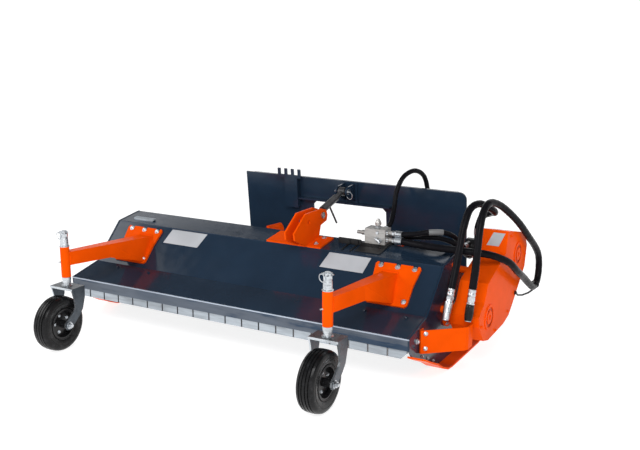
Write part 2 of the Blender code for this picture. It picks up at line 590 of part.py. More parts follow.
ears = Piece("top_link_ears", NAVY, hitch_origin)
pad = -GAP
ears.prism_x([on_plate(0.3405, pad), on_plate(0.3405, pad - 0.008), on_plate(0.445, pad - 0.008), on_plate(0.445, pad)],
             HITCH_X - 0.045, HITCH_X + 0.045)
ears = ears.make()
cheeks = Piece("ear_pair", NAVY)
for x0, x1 in ((HITCH_X - 0.032, HITCH_X - 0.024), (HITCH_X + 0.024, HITCH_X + 0.032)):
    cheeks.prism_x([on_plate(0.345, pad - 0.004), (0.790, 0.612), (0.762, 0.620), (0.747, 0.640), (0.755, 0.662), (0.775, 0.668),
                    on_plate(0.440, pad - 0.004)], x0, x1)
fuse(ears, cheeks.make())
holes = Piece("ear_holes", NAVY)
holes.rod((HITCH_X - 0.05, *EAR_PIN), (HITCH_X + 0.05, *EAR_PIN), LINK_PIN_R + GAP)
cut(ears, holes.make())
pin = Piece("ear_pin", ZINC, hitch_origin)
pin.turned([(LINK_PIN_R, HITCH_X - 0.040), (LINK_PIN_R, HITCH_X + 0.0325), (0.015, HITCH_X + 0.0325),
            (0.015, HITCH_X + 0.040)], (0.0, *EAR_PIN), (1, 0, 0), 16)
pin.make()

lugs = Piece("hitch_lugs", NAVY)
for end in (-1, 1):
    for x0, x1 in ((-0.022, -0.012), (0.012, 0.022)):
        cx = HITCH_X + end * HITCH_SPAN
        lugs.prism_x([on_plate(0.004, WELD_IN), (0.800, 0.222), (0.778, 0.216), (0.752, 0.230), (0.745, 0.250),
                      (0.752, 0.270), (0.775, 0.284), on_plate(0.110, WELD_IN)], cx + x0, cx + x1)
fuse(attach, lugs.make())
holes = Piece("lug_holes", NAVY)
holes.rod((HITCH_X - 0.5, *HITCH_PIVOT), (HITCH_X + 0.5, *HITCH_PIVOT), 0.0125 + GAP)
cut(attach, holes.make())
for end, label in ((-1, "left"), (1, "right")):
    cx = HITCH_X + end * HITCH_SPAN
    pins = Piece("hitch_pin_" + label, ZINC, hitch_origin)
    pins.turned([(0.0125, cx - 0.034), (0.0125, cx + 0.0223), (0.018, cx + 0.0223), (0.018, cx + 0.031)],
                (0.0, *HITCH_PIVOT), (1, 0, 0), 16)
    pins.make()

# Top link: a turnbuckle barrel with its tower eye, and the rod that slides to the ears
link_vec = Vector((EAR_PIN[0] - TOWER_PIN[0], EAR_PIN[1] - TOWER_PIN[1]))
link_length = link_vec.length
link_dir = (0.0, link_vec.x / link_length, link_vec.y / link_length)
tower_point = (HITCH_X, *TOWER_PIN)
ear_point = (HITCH_X, *EAR_PIN)
EYE_HALF = 0.017


def along_link(distance):
    return tuple(Vector(tower_point) + Vector(link_dir) * distance)


barrel = Piece("link_barrel", STEEL, tower_point)
barrel.turned([(0.0100, 0.016), (0.0100, 0.052), (0.018, 0.052), (0.018, 0.195), (0.0115, 0.195), (0.0115, 0.065),
               (0.002, 0.065), (0.002, 0.0601), (0.001, 0.060)], tower_point, link_dir, 16)
barrel = barrel.make()
eye = Piece("link_eye_low", STEEL)
eye.rod((HITCH_X - EYE_HALF, *TOWER_PIN), (HITCH_X + EYE_HALF, *TOWER_PIN), 0.020, 18)
fuse(barrel, eye.make())
handle = Piece("link_handle", STEEL)
grip = Vector(along_link(0.125)) + Vector((0.0, 0.003, -0.0155))
handle.rod(tuple(grip), tuple(grip + Vector((0.0, 0.075, -0.098))), 0.005, 14)
fuse(barrel, handle.make())
hole = Piece("link_hole_low", STEEL)
hole.rod((HITCH_X - 0.05, *TOWER_PIN), (HITCH_X + 0.05, *TOWER_PIN), LINK_PIN_R + 0.0005, 16)
cut(barrel, hole.make())
rod = Piece("link_rod", STEEL, ear_point)
rod.turned([(0.0112, 0.105), (0.0112, link_length - 0.016)], tower_point, link_dir, 16)
rod = rod.make()
eye = Piece("link_eye_high", STEEL)
eye.rod((HITCH_X - EYE_HALF, *EAR_PIN), (HITCH_X + EYE_HALF, *EAR_PIN), 0.022, 18)
fuse(rod, eye.make())
hole = Piece("link_hole_high", STEEL)
hole.rod((HITCH_X - 0.05, *EAR_PIN), (HITCH_X + 0.05, *EAR_PIN), LINK_PIN_R + 0.0030, 16)
cut(rod, hole.make())

# Belt drive: back plate, hollow cover with raised vent rings, motor
plate = Piece("drive_plate", ORANGE)
plate.prism_x(COVER_OUTLINE, *BACK_PLATE)
plate = plate.make()
holes = Piece("drive_holes", ORANGE)
holes.rod((BACK_PLATE[0] - 0.02, *MOTOR_AXIS), (BACK_PLATE[1] + 0.02, *MOTOR_AXIS), 0.030)
cut(plate, holes.make())
cover = Piece("belt_cover", ORANGE)
cover.prism_x(COVER_OUTLINE, COVER_IN, COVER_OUT)
cover = cover.make()
inside = Piece("cover_inside", ORANGE)
inner_line = []
for i, point in enumerate(COVER_OUTLINE):
    before = COVER_OUTLINE[i - 1]
    after = COVER_OUTLINE[(i + 1) % len(COVER_OUTLINE)]
    inner_line.append(offset_path([before, point, after], COVER_T)[1])
inside.prism_x(inner_line, COVER_IN - 0.02, COVER_OUT - COVER_T)
cut(cover, inside.make())
vents = Piece("cover_vents", ORANGE)
for centre in VENTS:
    vents.ring((COVER_OUT + 0.001, *centre), (1, 0, 0), 0.046, 0.058, 0.003, 18)
    vents.ring((COVER_OUT + 0.001, *centre), (1, 0, 0), 0.012, 0.030, 0.003, 12)
fuse(cover, vents.make())
spacers = Piece("drive_spacers", ORANGE)
for y, z in ((0.345, 0.260), (0.500, 0.160), (0.520, 0.400)):
    spacers.rod((HALF_WIDTH + GAP, y, z), (BACK_PLATE[0] + 0.004, y, z), 0.016, 12)
fuse(plate, spacers.make())
motor = Piece("hydraulic_motor", BLACK)
motor.turned([(0.040, -0.128), (0.048, -0.120), (0.048, -0.056), (0.054, -0.054), (0.054, -0.018),
              (0.062, -0.016), (0.062, -GAP)], (BACK_PLATE[0], *MOTOR_AXIS), (1, 0, 0), 20)
motor = motor.make()
ports = Piece("motor_ports", BLACK)
for x, z in PORTS:
    ports.rod((x, MOTOR_AXIS[0] - 0.035, z), (x, PORT_FACE, z), 0.0145, 12)
ports.rod((TOP_PORT[0], TOP_PORT[1], MOTOR_AXIS[1] + 0.035), (TOP_PORT[0], TOP_PORT[1], TOP_PORT[2]), 0.0165, 12)
fuse(motor, ports.make())

# Corner guard in front of the belt drive
guard = Piece("corner_guard", ORANGE)
GUARD_PATH = [(0.0006, 0.135), (0.0006, 0.104), (0.009, 0.097), (0.158, 0.229), (0.166, 0.244), (0.166, 0.291)]
GUARD_Z = (0.136, 0.238)
guard_path = [(HALF_WIDTH + x, y) for x, y in GUARD_PATH]
guard_section = guard_path + list(reversed(offset_path(guard_path, 0.005)))
guard.prism_z(guard_section, *GUARD_Z)
guard.make()

# Valve block on a saddle across the deck's rear top edge, with knob and fittings
block = Piece("valve_block", ALLOY)
block.box((BLOCK_LOW[0], BLOCK_LOW[1], SADDLE_TOP + GAP), BLOCK_HIGH)
block = block.make()
foot = Piece("valve_bracket", BLACK)
saddle_back = TOP_REAR[0] + 0.070
foot.prism_x([on_top(0.392, GAP), on_top(0.516, GAP), (TOP_REAR[0], TOP_REAR[1] + 0.0004), (saddle_back, TOP_REAR[1] + 0.0004),
              (saddle_back, SADDLE_TOP), (BLOCK_LOW[1] - 0.004, SADDLE_TOP), on_top(0.448, 0.0045), on_top(0.392, 0.0045)],
             *SADDLE_X)
foot = foot.make()
leg = Piece("bracket_leg", BLACK)
leg.box((SADDLE_X[0], saddle_back - 0.040, beam_top + GAP), (SADDLE_X[1], saddle_back, SADDLE_TOP - 0.002))
fuse(foot, leg.make())
fittings = Piece("valve_fittings", ALLOY)
fittings.turned([(0.010, 0.0), (0.010, 0.014), (0.015, 0.016), (0.015, 0.026), (0.006, 0.044)],
                (0.533, 0.512, BLOCK_HIGH[2] - 0.001), (0, 0, 1), 12)
inside_x = BLOCK_HIGH[0] - 0.001
for y, z in FITTINGS:
    fittings.turned([(0.013, 0.0), (0.013, 0.014), (0.010, 0.015), (0.010, FITTING_FACE - inside_x)], (inside_x, y, z),
                    (1, 0, 0), 12)
inside_y = BLOCK_HIGH[1] - 0.001
fittings.turned([(0.013, 0.0), (0.013, 0.014), (0.010, 0.015), (0.010, BACK_FITTING[1] - inside_y)],
                (BACK_FITTING[0], inside_y, BACK_FITTING[2]), (0, 1, 0), 12)
fittings.turned([(0.012, 0.0), (0.012, 0.030), (0.009, 0.032), (0.009, 0.055)], (BLOCK_LOW[0] + 0.001, 0.512, 0.515),
                (-1, 0, 0), 12)
fuse(block, fittings.make())

# Hoses: smooth curves through chosen points, written for this half width
ROUTE_HALF_WIDTH = 0.925
ROUTE_SIDE_X = 0.860
SUPPLY_A = [(0.6283, 0.497, 0.498), (0.668, 0.497, 0.498), (0.735, 0.476, 0.500), (0.820, 0.456, 0.503),
            (0.920, 0.450, 0.505), (1.010, 0.462, 0.502), (1.090, 0.500, 0.489), (1.146, 0.575, 0.447),
            (1.160, 0.660, 0.388), (1.158, 0.780, 0.325), (1.156, 0.885, 0.266), (1.154, 0.965, 0.230),
            (1.152, 1.032, 0.239), (1.150, 1.064, 0.297), (1.149, 1.048, 0.367), (1.147, 0.982, 0.428),
            (1.143, 0.880, 0.497), (1.132, 0.775, 0.575), (1.112, 0.680, 0.643), (1.088, 0.585, 0.700),
            (1.072, 0.500, 0.722), (1.069, 0.432, 0.694), (1.072, 0.385, 0.632), (1.077, 0.352, 0.550),
            (1.080, 0.325, 0.460), (1.080, 0.3005, 0.3867)]
SUPPLY_B = [(0.915, 0.815, 0.4903), (0.915, 0.815, 0.530), (0.940, 0.796, 0.589), (0.995, 0.752, 0.620),
            (1.035, 0.690, 0.640), (1.034, 0.615, 0.675), (1.010, 0.545, 0.704), (0.992, 0.480, 0.690),
            (0.986, 0.430, 0.630), (0.985, 0.388, 0.545), (0.985, 0.345, 0.450), (0.985, 0.3055, 0.3737)]
LINE_IN = [(0.6283, 0.497, 0.532), (0.668, 0.497, 0.532), (0.728, 0.492, 0.543), (0.790, 0.502, 0.556),
           (0.848, 0.540, 0.554), (0.876, 0.590, 0.530), (0.883, 0.637, 0.495), (0.884, 0.678, 0.465),
           (0.884, 0.715, 0.452), (0.884, 0.7450, 0.452)]
LINE_OUT = [(0.6283, 0.529, 0.515), (0.668, 0.529, 0.515), (0.745, 0.529, 0.522), (0.820, 0.545, 0.524),
            (0.872, 0.582, 0.503), (0.903, 0.628, 0.462), (0.913, 0.672, 0.427), (0.914, 0.713, 0.412),
            (0.914, 0.7450, 0.412)]
DRAIN = [(0.530, 0.5758, 0.520), (0.530, 0.615, 0.520), (0.524, 0.680, 0.543), (0.512, 0.735, 0.600),
         (0.508, 0.770, 0.675), (0.525, 0.812, 0.740), (0.552, 0.880, 0.762), (0.574, 0.945, 0.730),
         (0.582, 0.982, 0.655), (0.582, 0.992, 0.560), (0.582, 0.992, 0.4703)]


def placed(route):
    """The route with its far end moved along with the side plate."""
    moved = []
    for x, y, z in route:
        share = min(1.0, max(0.0, (x - FITTING_FACE) / (ROUTE_SIDE_X - FITTING_FACE)))
        moved.append((x + share * (HALF_WIDTH - ROUTE_HALF_WIDTH), y, z))
    return moved


def smooth_line(route, step):
    """Points a step apart on a Catmull-Rom curve; the first and last stretch stay straight."""
    points = [Vector(p) for p in route]
    fine = []
    for i in range(1, len(points) - 2):
        a, b, c, d = points[i - 1:i + 3]
        for k in range(24):
            t = k / 24
            fine.append(0.5 * (2 * b + (c - a) * t + (2 * a - 5 * b + 4 * c - d) * t ** 2
                               + (3 * b - a - 3 * c + d) * t ** 3))
    fine.append(points[-2])
    total = sum((q - p).length for p, q in zip(fine, fine[1:]))
    count = max(2, round(total / step))
    line = [points[0], fine[0]]
    walked = 0.0
    for p, q in zip(fine, fine[1:]):
        length = (q - p).length
        while len(line) - 1 < count and walked + length >= (len(line) - 1) * total / count:
            line.append(p.lerp(q, ((len(line) - 1) * total / count - walked) / length))
        walked += length
    return line + [fine[-1], points[-1]]


def hose(name, route, radius):
    line = smooth_line(placed(route), HOSE_STEP * radius)
    curve = bpy.data.curves.new(name, "CURVE")
    curve.dimensions = "3D"
    curve.bevel_depth = radius
    curve.bevel_resolution = 2
    curve.use_fill_caps = True
    spline = curve.splines.new("POLY")
    spline.points.add(len(line) - 1)
    for point, place in zip(spline.points, line):
        point.co = (*place, 1.0)
    curve.materials.append(HOSE)
    obj = bpy.data.objects.new(name, curve)
    bpy.context.scene.collection.objects.link(obj)
    obj.parent = root
    return obj


def coupler(name, route):
    """Quick coupler that carries on from the last stretch of a route."""
    before, end = [Vector(p) for p in placed(route)[-2:]]
    axis = (end - before).normalized()
    start = end + axis * GAP
    body = Piece(name, ZINC)
    body.turned([(0.0130, 0.0), (0.0165, 0.004), (0.0165, 0.040), (0.0150, 0.044), (0.0150, 0.058),
                 (COUPLER_R, 0.060), (COUPLER_R, 0.105), (0.0165, 0.108), (0.0165, 0.135), (0.0140, 0.140)],
                tuple(start), tuple(axis), 12)
    return body.make()


hose("supply_hose_a", SUPPLY_A, SUPPLY_R)
coupler("coupler_a", SUPPLY_A)
hose("supply_hose_b", SUPPLY_B, SUPPLY_R)
coupler("coupler_b", SUPPLY_B)
hose("motor_line_in", LINE_IN, LINE_R)
hose("motor_line_out", LINE_OUT, LINE_R)
hose("drain_hose", DRAIN, LINE_R)
coupler("coupler_c", DRAIN)
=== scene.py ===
import math

import bmesh
import bpy
from bpy.props import FloatProperty, FloatVectorProperty, IntProperty, PointerProperty
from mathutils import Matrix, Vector


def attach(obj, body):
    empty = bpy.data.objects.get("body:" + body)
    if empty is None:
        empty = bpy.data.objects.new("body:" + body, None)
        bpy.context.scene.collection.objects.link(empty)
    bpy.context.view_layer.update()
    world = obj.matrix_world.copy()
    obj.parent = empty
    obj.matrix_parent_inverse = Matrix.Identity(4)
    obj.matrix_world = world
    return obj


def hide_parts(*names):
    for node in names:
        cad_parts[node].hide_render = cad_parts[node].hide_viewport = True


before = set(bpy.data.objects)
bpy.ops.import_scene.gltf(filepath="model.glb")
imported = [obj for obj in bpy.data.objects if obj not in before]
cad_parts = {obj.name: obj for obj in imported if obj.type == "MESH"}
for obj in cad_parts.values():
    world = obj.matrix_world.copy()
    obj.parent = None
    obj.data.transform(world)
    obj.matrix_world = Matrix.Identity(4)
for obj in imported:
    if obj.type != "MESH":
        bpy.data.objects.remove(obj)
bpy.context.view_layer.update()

bl_info = {
    "name": "Hammer mower looks",
    "version": (1, 0, 0),
    "blender": (4, 5, 0),
    "location": "View3D > Sidebar > Mower",
    "description": "Materials, fasteners, hoses, tyres and studio for the hammer mower",
    "category": "Object",
}

# All places here are deck coordinates in metres: X 0 at the deck's centre, Y 0 at the front of its lip,
# Z 0 on the ground. SHIFT takes them to the row frame.
SHIFT = Vector((-0.0670, -0.2563, 0.0))
CREASE = (0.184, 0.270)
TOP_FRONT = (0.364, 0.448)
TOP_REAR = (0.520, 0.470)
CASTER_X = 0.692
CASTER_Y = -0.269
AXLE = (-0.338, 0.1275)
WHEEL_R = 0.1275
TYRE_HALF = 0.040
RIM_R = 0.0725
SLEEVE_TOP = 0.478
SIDE_X = 0.925
COVER_X = 1.115
MOTOR = (0.815, 0.425)
ROTOR = (0.420, 0.222)
ROLLER = (0.712, 0.057)
HITCH_X = 0.208
ARM_PLATE_X = 0.720
HAMMER_STATIONS = 16
HAMMER_PITCH = 0.110
FLAP_START = -0.9127
FLAP_PITCH = 0.09127
SEAT = 0.0003
SIDES = ((-1, "left"), (1, "right"))
ALONG_X = (1, 0, 0)
UP = (0, 0, 1)

# Places (Y, Z) of bolts on the outside of the side plates, the belt cover and its vent rings
SKID_BOLTS = ((0.138, 0.110), (0.200, 0.080), (0.264, 0.047), (0.560, 0.027))
COVER_BOLTS = ((0.330, 0.215), (0.520, 0.140), (0.700, 0.175), (0.925, 0.400), (0.700, 0.535), (0.640, 0.440))
VENTS = ((0.431, 0.228), (0.815, 0.425))

# Hose routes, as in the part's source
SUPPLY_A = [(0.6283, 0.497, 0.498), (0.668, 0.497, 0.498), (0.735, 0.476, 0.500), (0.820, 0.456, 0.503),
            (0.920, 0.450, 0.505), (1.010, 0.462, 0.502), (1.090, 0.500, 0.489), (1.146, 0.575, 0.447),
            (1.160, 0.660, 0.388), (1.158, 0.780, 0.325), (1.156, 0.885, 0.266), (1.154, 0.965, 0.230),
            (1.152, 1.032, 0.239), (1.150, 1.064, 0.297), (1.149, 1.048, 0.367), (1.147, 0.982, 0.428),
            (1.143, 0.880, 0.497), (1.132, 0.775, 0.575), (1.112, 0.680, 0.643), (1.088, 0.585, 0.700),
            (1.072, 0.500, 0.722), (1.069, 0.432, 0.694), (1.072, 0.385, 0.632), (1.077, 0.352, 0.550),
            (1.080, 0.325, 0.460), (1.080, 0.3005, 0.3867)]
SUPPLY_B = [(0.915, 0.815, 0.4903), (0.915, 0.815, 0.530), (0.940, 0.796, 0.589), (0.995, 0.752, 0.620),
            (1.035, 0.690, 0.640), (1.034, 0.615, 0.675), (1.010, 0.545, 0.704), (0.992, 0.480, 0.690),
            (0.986, 0.430, 0.630), (0.985, 0.388, 0.545), (0.985, 0.345, 0.450), (0.985, 0.3055, 0.3737)]
LINE_IN = [(0.6283, 0.497, 0.532), (0.668, 0.497, 0.532), (0.728, 0.492, 0.543), (0.790, 0.502, 0.556),
           (0.848, 0.540, 0.554), (0.876, 0.590, 0.530), (0.883, 0.637, 0.495), (0.884, 0.678, 0.465),
           (0.884, 0.715, 0.452), (0.884, 0.7450, 0.452)]
LINE_OUT = [(0.6283, 0.529, 0.515), (0.668, 0.529, 0.515), (0.745, 0.529, 0.522), (0.820, 0.545, 0.524),
            (0.872, 0.582, 0.503), (0.903, 0.628, 0.462), (0.913, 0.672, 0.427), (0.914, 0.713, 0.412),
            (0.914, 0.7450, 0.412)]
DRAIN = [(0.530, 0.5758, 0.520), (0.530, 0.615, 0.520), (0.524, 0.680, 0.543), (0.512, 0.735, 0.600),
         (0.508, 0.770, 0.675), (0.525, 0.812, 0.740), (0.552, 0.880, 0.762), (0.574, 0.945, 0.730),
         (0.582, 0.982, 0.655), (0.582, 0.992, 0.560), (0.582, 0.992, 0.4703)]
SUPPLY_R = 0.0170
LINE_R = 0.0125


def row(x, y, z):
    """Point of the row frame for a point in deck coordinates."""
    return Vector((x, y, z)) + SHIFT


# Materials by name, filled by the finishes operator
FINISHES = {}


class Piece:
    """Closed solids of one piece, given in deck coordinates."""

    def __init__(self, name):
        self.name = name
        self.mesh = bmesh.new()

    def skin(self, rings, ends=True):
        """Join rings of points one after another, closed by end faces or back to the first ring."""
        rows = [[self.mesh.verts.new(Vector(p) + SHIFT) for p in ring] for ring in rings]
        count = len(rows[0])
        pairs = list(zip(rows, rows[1:])) + ([] if ends else [(rows[-1], rows[0])])
        faces = []
        for lower, upper in pairs:
            for i in range(count):
                j = (i + 1) % count
                faces.append(self.mesh.faces.new((lower[i], lower[j], upper[j], upper[i])))
        if ends:
            faces.append(self.mesh.faces.new(list(reversed(rows[0]))))
            faces.append(self.mesh.faces.new(rows[-1]))
        bmesh.ops.recalc_face_normals(self.mesh, faces=faces)
        return self

    def lathe(self, profile, centre, axis, steps, ends=True, spin=0.0):
        """Turn (radius, height) points about an axis through centre."""
        turn = Vector((0, 0, 1)).rotation_difference(Vector(axis).normalized()).to_matrix()
        rings = []
        for radius, height in profile:
            ring = []
            for k in range(steps):
                a = 2.0 * math.pi * k / steps + spin
                ring.append(turn @ Vector((radius * math.cos(a), radius * math.sin(a), height)) + Vector(centre))
            rings.append(ring)
        return self.skin(rings, ends)

    def bolt(self, place, axis, size):
        """Hexagon head with a flange and a shallow dome, standing on a surface."""
        base = Vector(place) + Vector(axis).normalized() * size * 0.15
        for profile, foot, steps, spin in (
                (((1.45, 0.0), (1.45, 0.16), (1.28, 0.30)), place, 22, 0.0),
                (((1.08, 0.0), (1.15, 0.10), (1.15, 0.68), (0.95, 0.84)), base, 6, 0.3),
                (((0.62, 0.5), (0.62, 1.05), (0.45, 1.18)), base, 14, 0.0)):
            self.lathe([(size * r, size * h) for r, h in profile], foot, axis, steps, spin=spin)
        return self

    def torus(self, centre, axis, radius, wire, steps, sides=8):
        """Closed ring of round wire."""
        turn = Vector((0, 0, 1)).rotation_difference(Vector(axis).normalized()).to_matrix()
        rings = []
        for k in range(steps):
            a = 2.0 * math.pi * k / steps
            ring = []
            for s in range(sides):
                b = 2.0 * math.pi * s / sides
                r = radius + wire * math.cos(b)
                point = Vector((r * math.cos(a), r * math.sin(a), wire * math.sin(b)))
                ring.append(turn @ point + Vector(centre))
            rings.append(ring)
        return self.skin(rings, ends=False)

    def tube(self, path, radius, sides=8):
        """Round bar or bead along an open path."""
        points = [Vector(p) for p in path]
        rings = []
        side = None
        for k, point in enumerate(points):
            ahead = (points[min(k + 1, len(points) - 1)] - points[max(k - 1, 0)]).normalized()
            if side is None:
                side = ahead.orthogonal().normalized()
            side = (side - ahead * side.dot(ahead)).normalized()
            other = ahead.cross(side)
            rings.append([point + (side * math.cos(a) + other * math.sin(a)) * radius
                          for a in (2.0 * math.pi * n / sides for n in range(sides))])
        return self.skin(rings)

    def plate(self, corners, thickness):
        """Thin plate on a surface: its four corners in order, grown along their normal."""
        lift = 0.0005
        c = [Vector(p) for p in corners]
        normal = (c[1] - c[0]).cross(c[3] - c[0]).normalized()
        inner = [c[k].lerp(c[(k + 2) % 4], 0.012) for k in range(4)]
        low = [p + normal * lift for p in c]
        mid = [p + normal * (lift + thickness * 0.7) for p in c]
        top = [p + normal * (lift + thickness) for p in inner]
        return self.skin([low, mid, top])

    def make(self, finish, body, slot, smooth=35.0):
        """Object that rides on a body, with edges sharper than smooth degrees kept sharp."""
        data = bpy.data.meshes.new(self.name)
        self.mesh.to_mesh(data)
        self.mesh.free()
        data.materials.append(FINISHES[finish])
        obj = bpy.data.objects.new(self.name, data)
        bpy.context.scene.collection.objects.link(obj)
        data.shade_smooth()
        data.set_sharp_from_angle(angle=math.radians(smooth))
        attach(obj, body)
        return obj


def shader_tree(name):
    """New procedural material, kept in FINISHES under its name."""
    mat = bpy.data.materials.new(name)
    mat.use_nodes = True
    tree = mat.node_tree
    tree.nodes.clear()
    out = tree.nodes.new("ShaderNodeOutputMaterial")
    shader = tree.nodes.new("ShaderNodeBsdfPrincipled")
    tree.links.new(shader.outputs[0], out.inputs[0])
    FINISHES[name] = mat
    return tree, shader


def coords(tree, stretch=(1.0, 1.0, 1.0)):
    """Object coordinates, scaled by stretch."""
    place = tree.nodes.new("ShaderNodeTexCoord")
    mapping = tree.nodes.new("ShaderNodeMapping")
    mapping.inputs["Scale"].default_value = stretch
    tree.links.new(place.outputs["Object"], mapping.inputs["Vector"])
    return mapping.outputs["Vector"]


def noise(tree, scale, detail=4.0, stretch=(1.0, 1.0, 1.0), rough=0.5):
    """Noise value on object coordinates."""
    node = tree.nodes.new("ShaderNodeTexNoise")
    node.inputs["Scale"].default_value = scale
    node.inputs["Detail"].default_value = detail
    node.inputs["Roughness"].default_value = rough
    tree.links.new(coords(tree, stretch), node.inputs["Vector"])
    return node.outputs["Fac"]


def ramp(tree, fac, stops):
    """Colour from a value, by stops of (place, colour)."""
    node = tree.nodes.new("ShaderNodeValToRGB")
    while len(node.color_ramp.elements) < len(stops):
        node.color_ramp.elements.new(0.5)
    for element, (place, colour) in zip(node.color_ramp.elements, stops):
        element.position = place
        element.color = (*colour, 1.0)
    tree.links.new(fac, node.inputs["Fac"])
    return node.outputs["Color"]


def spread(tree, fac, low, high, start=0.3, end=0.7):
    """Value taken from the range start to end into the range low to high."""
    node = tree.nodes.new("ShaderNodeMapRange")
    node.inputs["From Min"].default_value = start
    node.inputs["From Max"].default_value = end
    node.inputs["To Min"].default_value = low
    node.inputs["To Max"].default_value = high
    tree.links.new(fac, node.inputs["Value"])
    return node.outputs["Result"]


def bump(tree, shader, height, strength, distance):
    """Small relief from a height value."""
    node = tree.nodes.new("ShaderNodeBump")
    node.inputs["Strength"].default_value = strength
    node.inputs["Distance"].default_value = distance
    tree.links.new(height, node.inputs["Height"])
    tree.links.new(node.outputs["Normal"], shader.inputs["Normal"])


def tint(colour, factor):
    """Colour made paler or darker by a factor."""
    return tuple(min(1.0, c * factor) for c in colour)


def paint(name, colour, rough, index=1.5, level=0.5, dust=0.0):
    """Gloss paint with a slow change of tone, a little dust and a fine orange peel."""
    tree, shader = shader_tree(name)
    base = ramp(tree, noise(tree, 5.0, 6.0),
                [(0.30, tint(colour, 0.86)), (0.52, colour), (0.72, tint(colour, 1.12))])
    fine = ramp(tree, noise(tree, 34.0, 8.0, rough=0.7), [(0.60, (0.0, 0.0, 0.0)), (0.78, (dust, dust, dust))])
    add = tree.nodes.new("ShaderNodeMix")
    add.data_type = "RGBA"
    add.blend_type = "ADD"
    add.inputs["Factor"].default_value = 1.0
    tree.links.new(base, add.inputs["A"])
    tree.links.new(fine, add.inputs["B"])
    tree.links.new(add.outputs["Result"], shader.inputs["Base Color"])
    tree.links.new(spread(tree, noise(tree, 22.0, 6.0), *rough), shader.inputs["Roughness"])
    shader.inputs["IOR"].default_value = index
    shader.inputs["Specular IOR Level"].default_value = level
    bump(tree, shader, noise(tree, 260.0, 2.0), 0.05, 0.0006)


def metal(name, colour, rough=(0.24, 0.42), metallic=1.0, brush=(1.0, 1.0, 1.0)):
    """Bare or plated metal with stains, stretched along brush."""
    tree, shader = shader_tree(name)
    stain = ramp(tree, noise(tree, 26.0, 7.0, brush),
                 [(0.28, tint(colour, 0.72)), (0.50, colour), (0.75, tint(colour, 1.14))])
    tree.links.new(stain, shader.inputs["Base Color"])
    tree.links.new(spread(tree, noise(tree, 60.0, 5.0, brush), *rough), shader.inputs["Roughness"])
    shader.inputs["Metallic"].default_value = metallic
    bump(tree, shader, noise(tree, 320.0, 3.0, brush), 0.05, 0.0005)


def facing_mask_for_painted_light(tree, sign, low, high):
    """One where the surface faces along Y (sign 1 or -1, or 0 for both ways), else nought; a mask that places painted
    light by direction.
    """
    place = tree.nodes.new("ShaderNodeTexCoord")
    part = tree.nodes.new("ShaderNodeSeparateXYZ")
    size = tree.nodes.new("ShaderNodeMath")
    size.operation = "MULTIPLY" if sign else "ABSOLUTE"
    size.inputs[1].default_value = sign
    tree.links.new(place.outputs["Normal"], part.inputs["Vector"])
    tree.links.new(part.outputs["Y"], size.inputs[0])
    return spread(tree, size.outputs[0], 0.0, 1.0, low, high)


def blend(name, mask, colour):
    """Lay a second colour over a finish where the mask is one."""
    tree = FINISHES[name].node_tree
    shader = next(node for node in tree.nodes if node.type == "BSDF_PRINCIPLED")
    mix = tree.nodes.new("ShaderNodeMix")
    mix.data_type = "RGBA"
    tree.links.new(mask, mix.inputs["Factor"])
    tree.links.new(shader.inputs["Base Color"].links[0].from_socket, mix.inputs["A"])
    tree.links.new(colour, mix.inputs["B"])
    tree.links.new(mix.outputs["Result"], shader.inputs["Base Color"])


def metal_with_painted_edge_highlight(name, colour, edge, rough):
    """Plated sheet with a painted highlight: its front and back cut edges are painted brighter than its faces."""
    metal(name, colour, rough, 0.9)
    tree = FINISHES[name].node_tree
    # Painted highlight: a bright colour laid on the faces that look along Y.
    shade = ramp(tree, noise(tree, 40.0, 6.0), [(0.3, tint(edge, 0.8)), (0.7, edge)])
    blend(name, facing_mask_for_painted_light(tree, 0, 0.45, 0.75), shade)


def deck_paint_with_painted_lip_light(name, colour, lip):
    """Navy paint of the deck, with painted light on the front lip: faces that look forward are painted paler, in
    streaks.
    """
    paint(name, colour, (0.10, 0.20), 1.5, 0.30, 0.001)
    tree = FINISHES[name].node_tree
    # Painted light: paler streaks on the faces that look forward.
    shade = ramp(tree, noise(tree, 2.6, 6.0, (1.0, 1.0, 7.0), 0.6),
                 [(0.42, tint(colour, 1.6)), (0.50, tint(lip, 0.8)), (0.64, lip)])
    blend(name, facing_mask_for_painted_light(tree, -1.0, 0.90, 0.97), shade)


def flap_metal_with_painted_gap_shade(name, colour, start, pitch, width):
    """Plated flaps with painted shadow: dark along the gaps that come at each pitch along X."""
    metal(name, colour, (0.36, 0.54), 0.6, (0.4, 1.0, 3.0))
    tree = FINISHES[name].node_tree
    place = tree.nodes.new("ShaderNodeTexCoord")
    part = tree.nodes.new("ShaderNodeSeparateXYZ")
    tree.links.new(place.outputs["Object"], part.inputs["Vector"])
    value = part.outputs["X"]
    for operation, amount in (("SUBTRACT", start), ("DIVIDE", pitch), ("FRACT", 0.0),
                              ("SUBTRACT", 0.5), ("ABSOLUTE", 0.0)):
        step = tree.nodes.new("ShaderNodeMath")
        step.operation = operation
        step.inputs[1].default_value = amount
        tree.links.new(value, step.inputs[0])
        value = step.outputs[0]
    edge = 0.5 - width / pitch
    # Painted shadow in the gaps between flaps.
    painted_gap_shade = ramp(tree, noise(tree, 30.0), [(0.3, (0.02, 0.02, 0.025)), (0.7, (0.05, 0.05, 0.06))])
    blend(name, spread(tree, value, 0.0, 1.0, edge - 0.006, edge), painted_gap_shade)


def rubber(name, colour, wear, rough):
    """Black rubber with paler, worn patches."""
    tree, shader = shader_tree(name)
    base = ramp(tree, noise(tree, 30.0, 8.0), [(0.30, tint(colour, 0.7)), (0.55, colour), (0.80, tint(colour, wear))])
    tree.links.new(base, shader.inputs["Base Color"])
    tree.links.new(spread(tree, noise(tree, 48.0, 6.0), *rough), shader.inputs["Roughness"])
    shader.inputs["Specular IOR Level"].default_value = 0.20
    bump(tree, shader, noise(tree, 420.0, 4.0), 0.22, 0.0008)


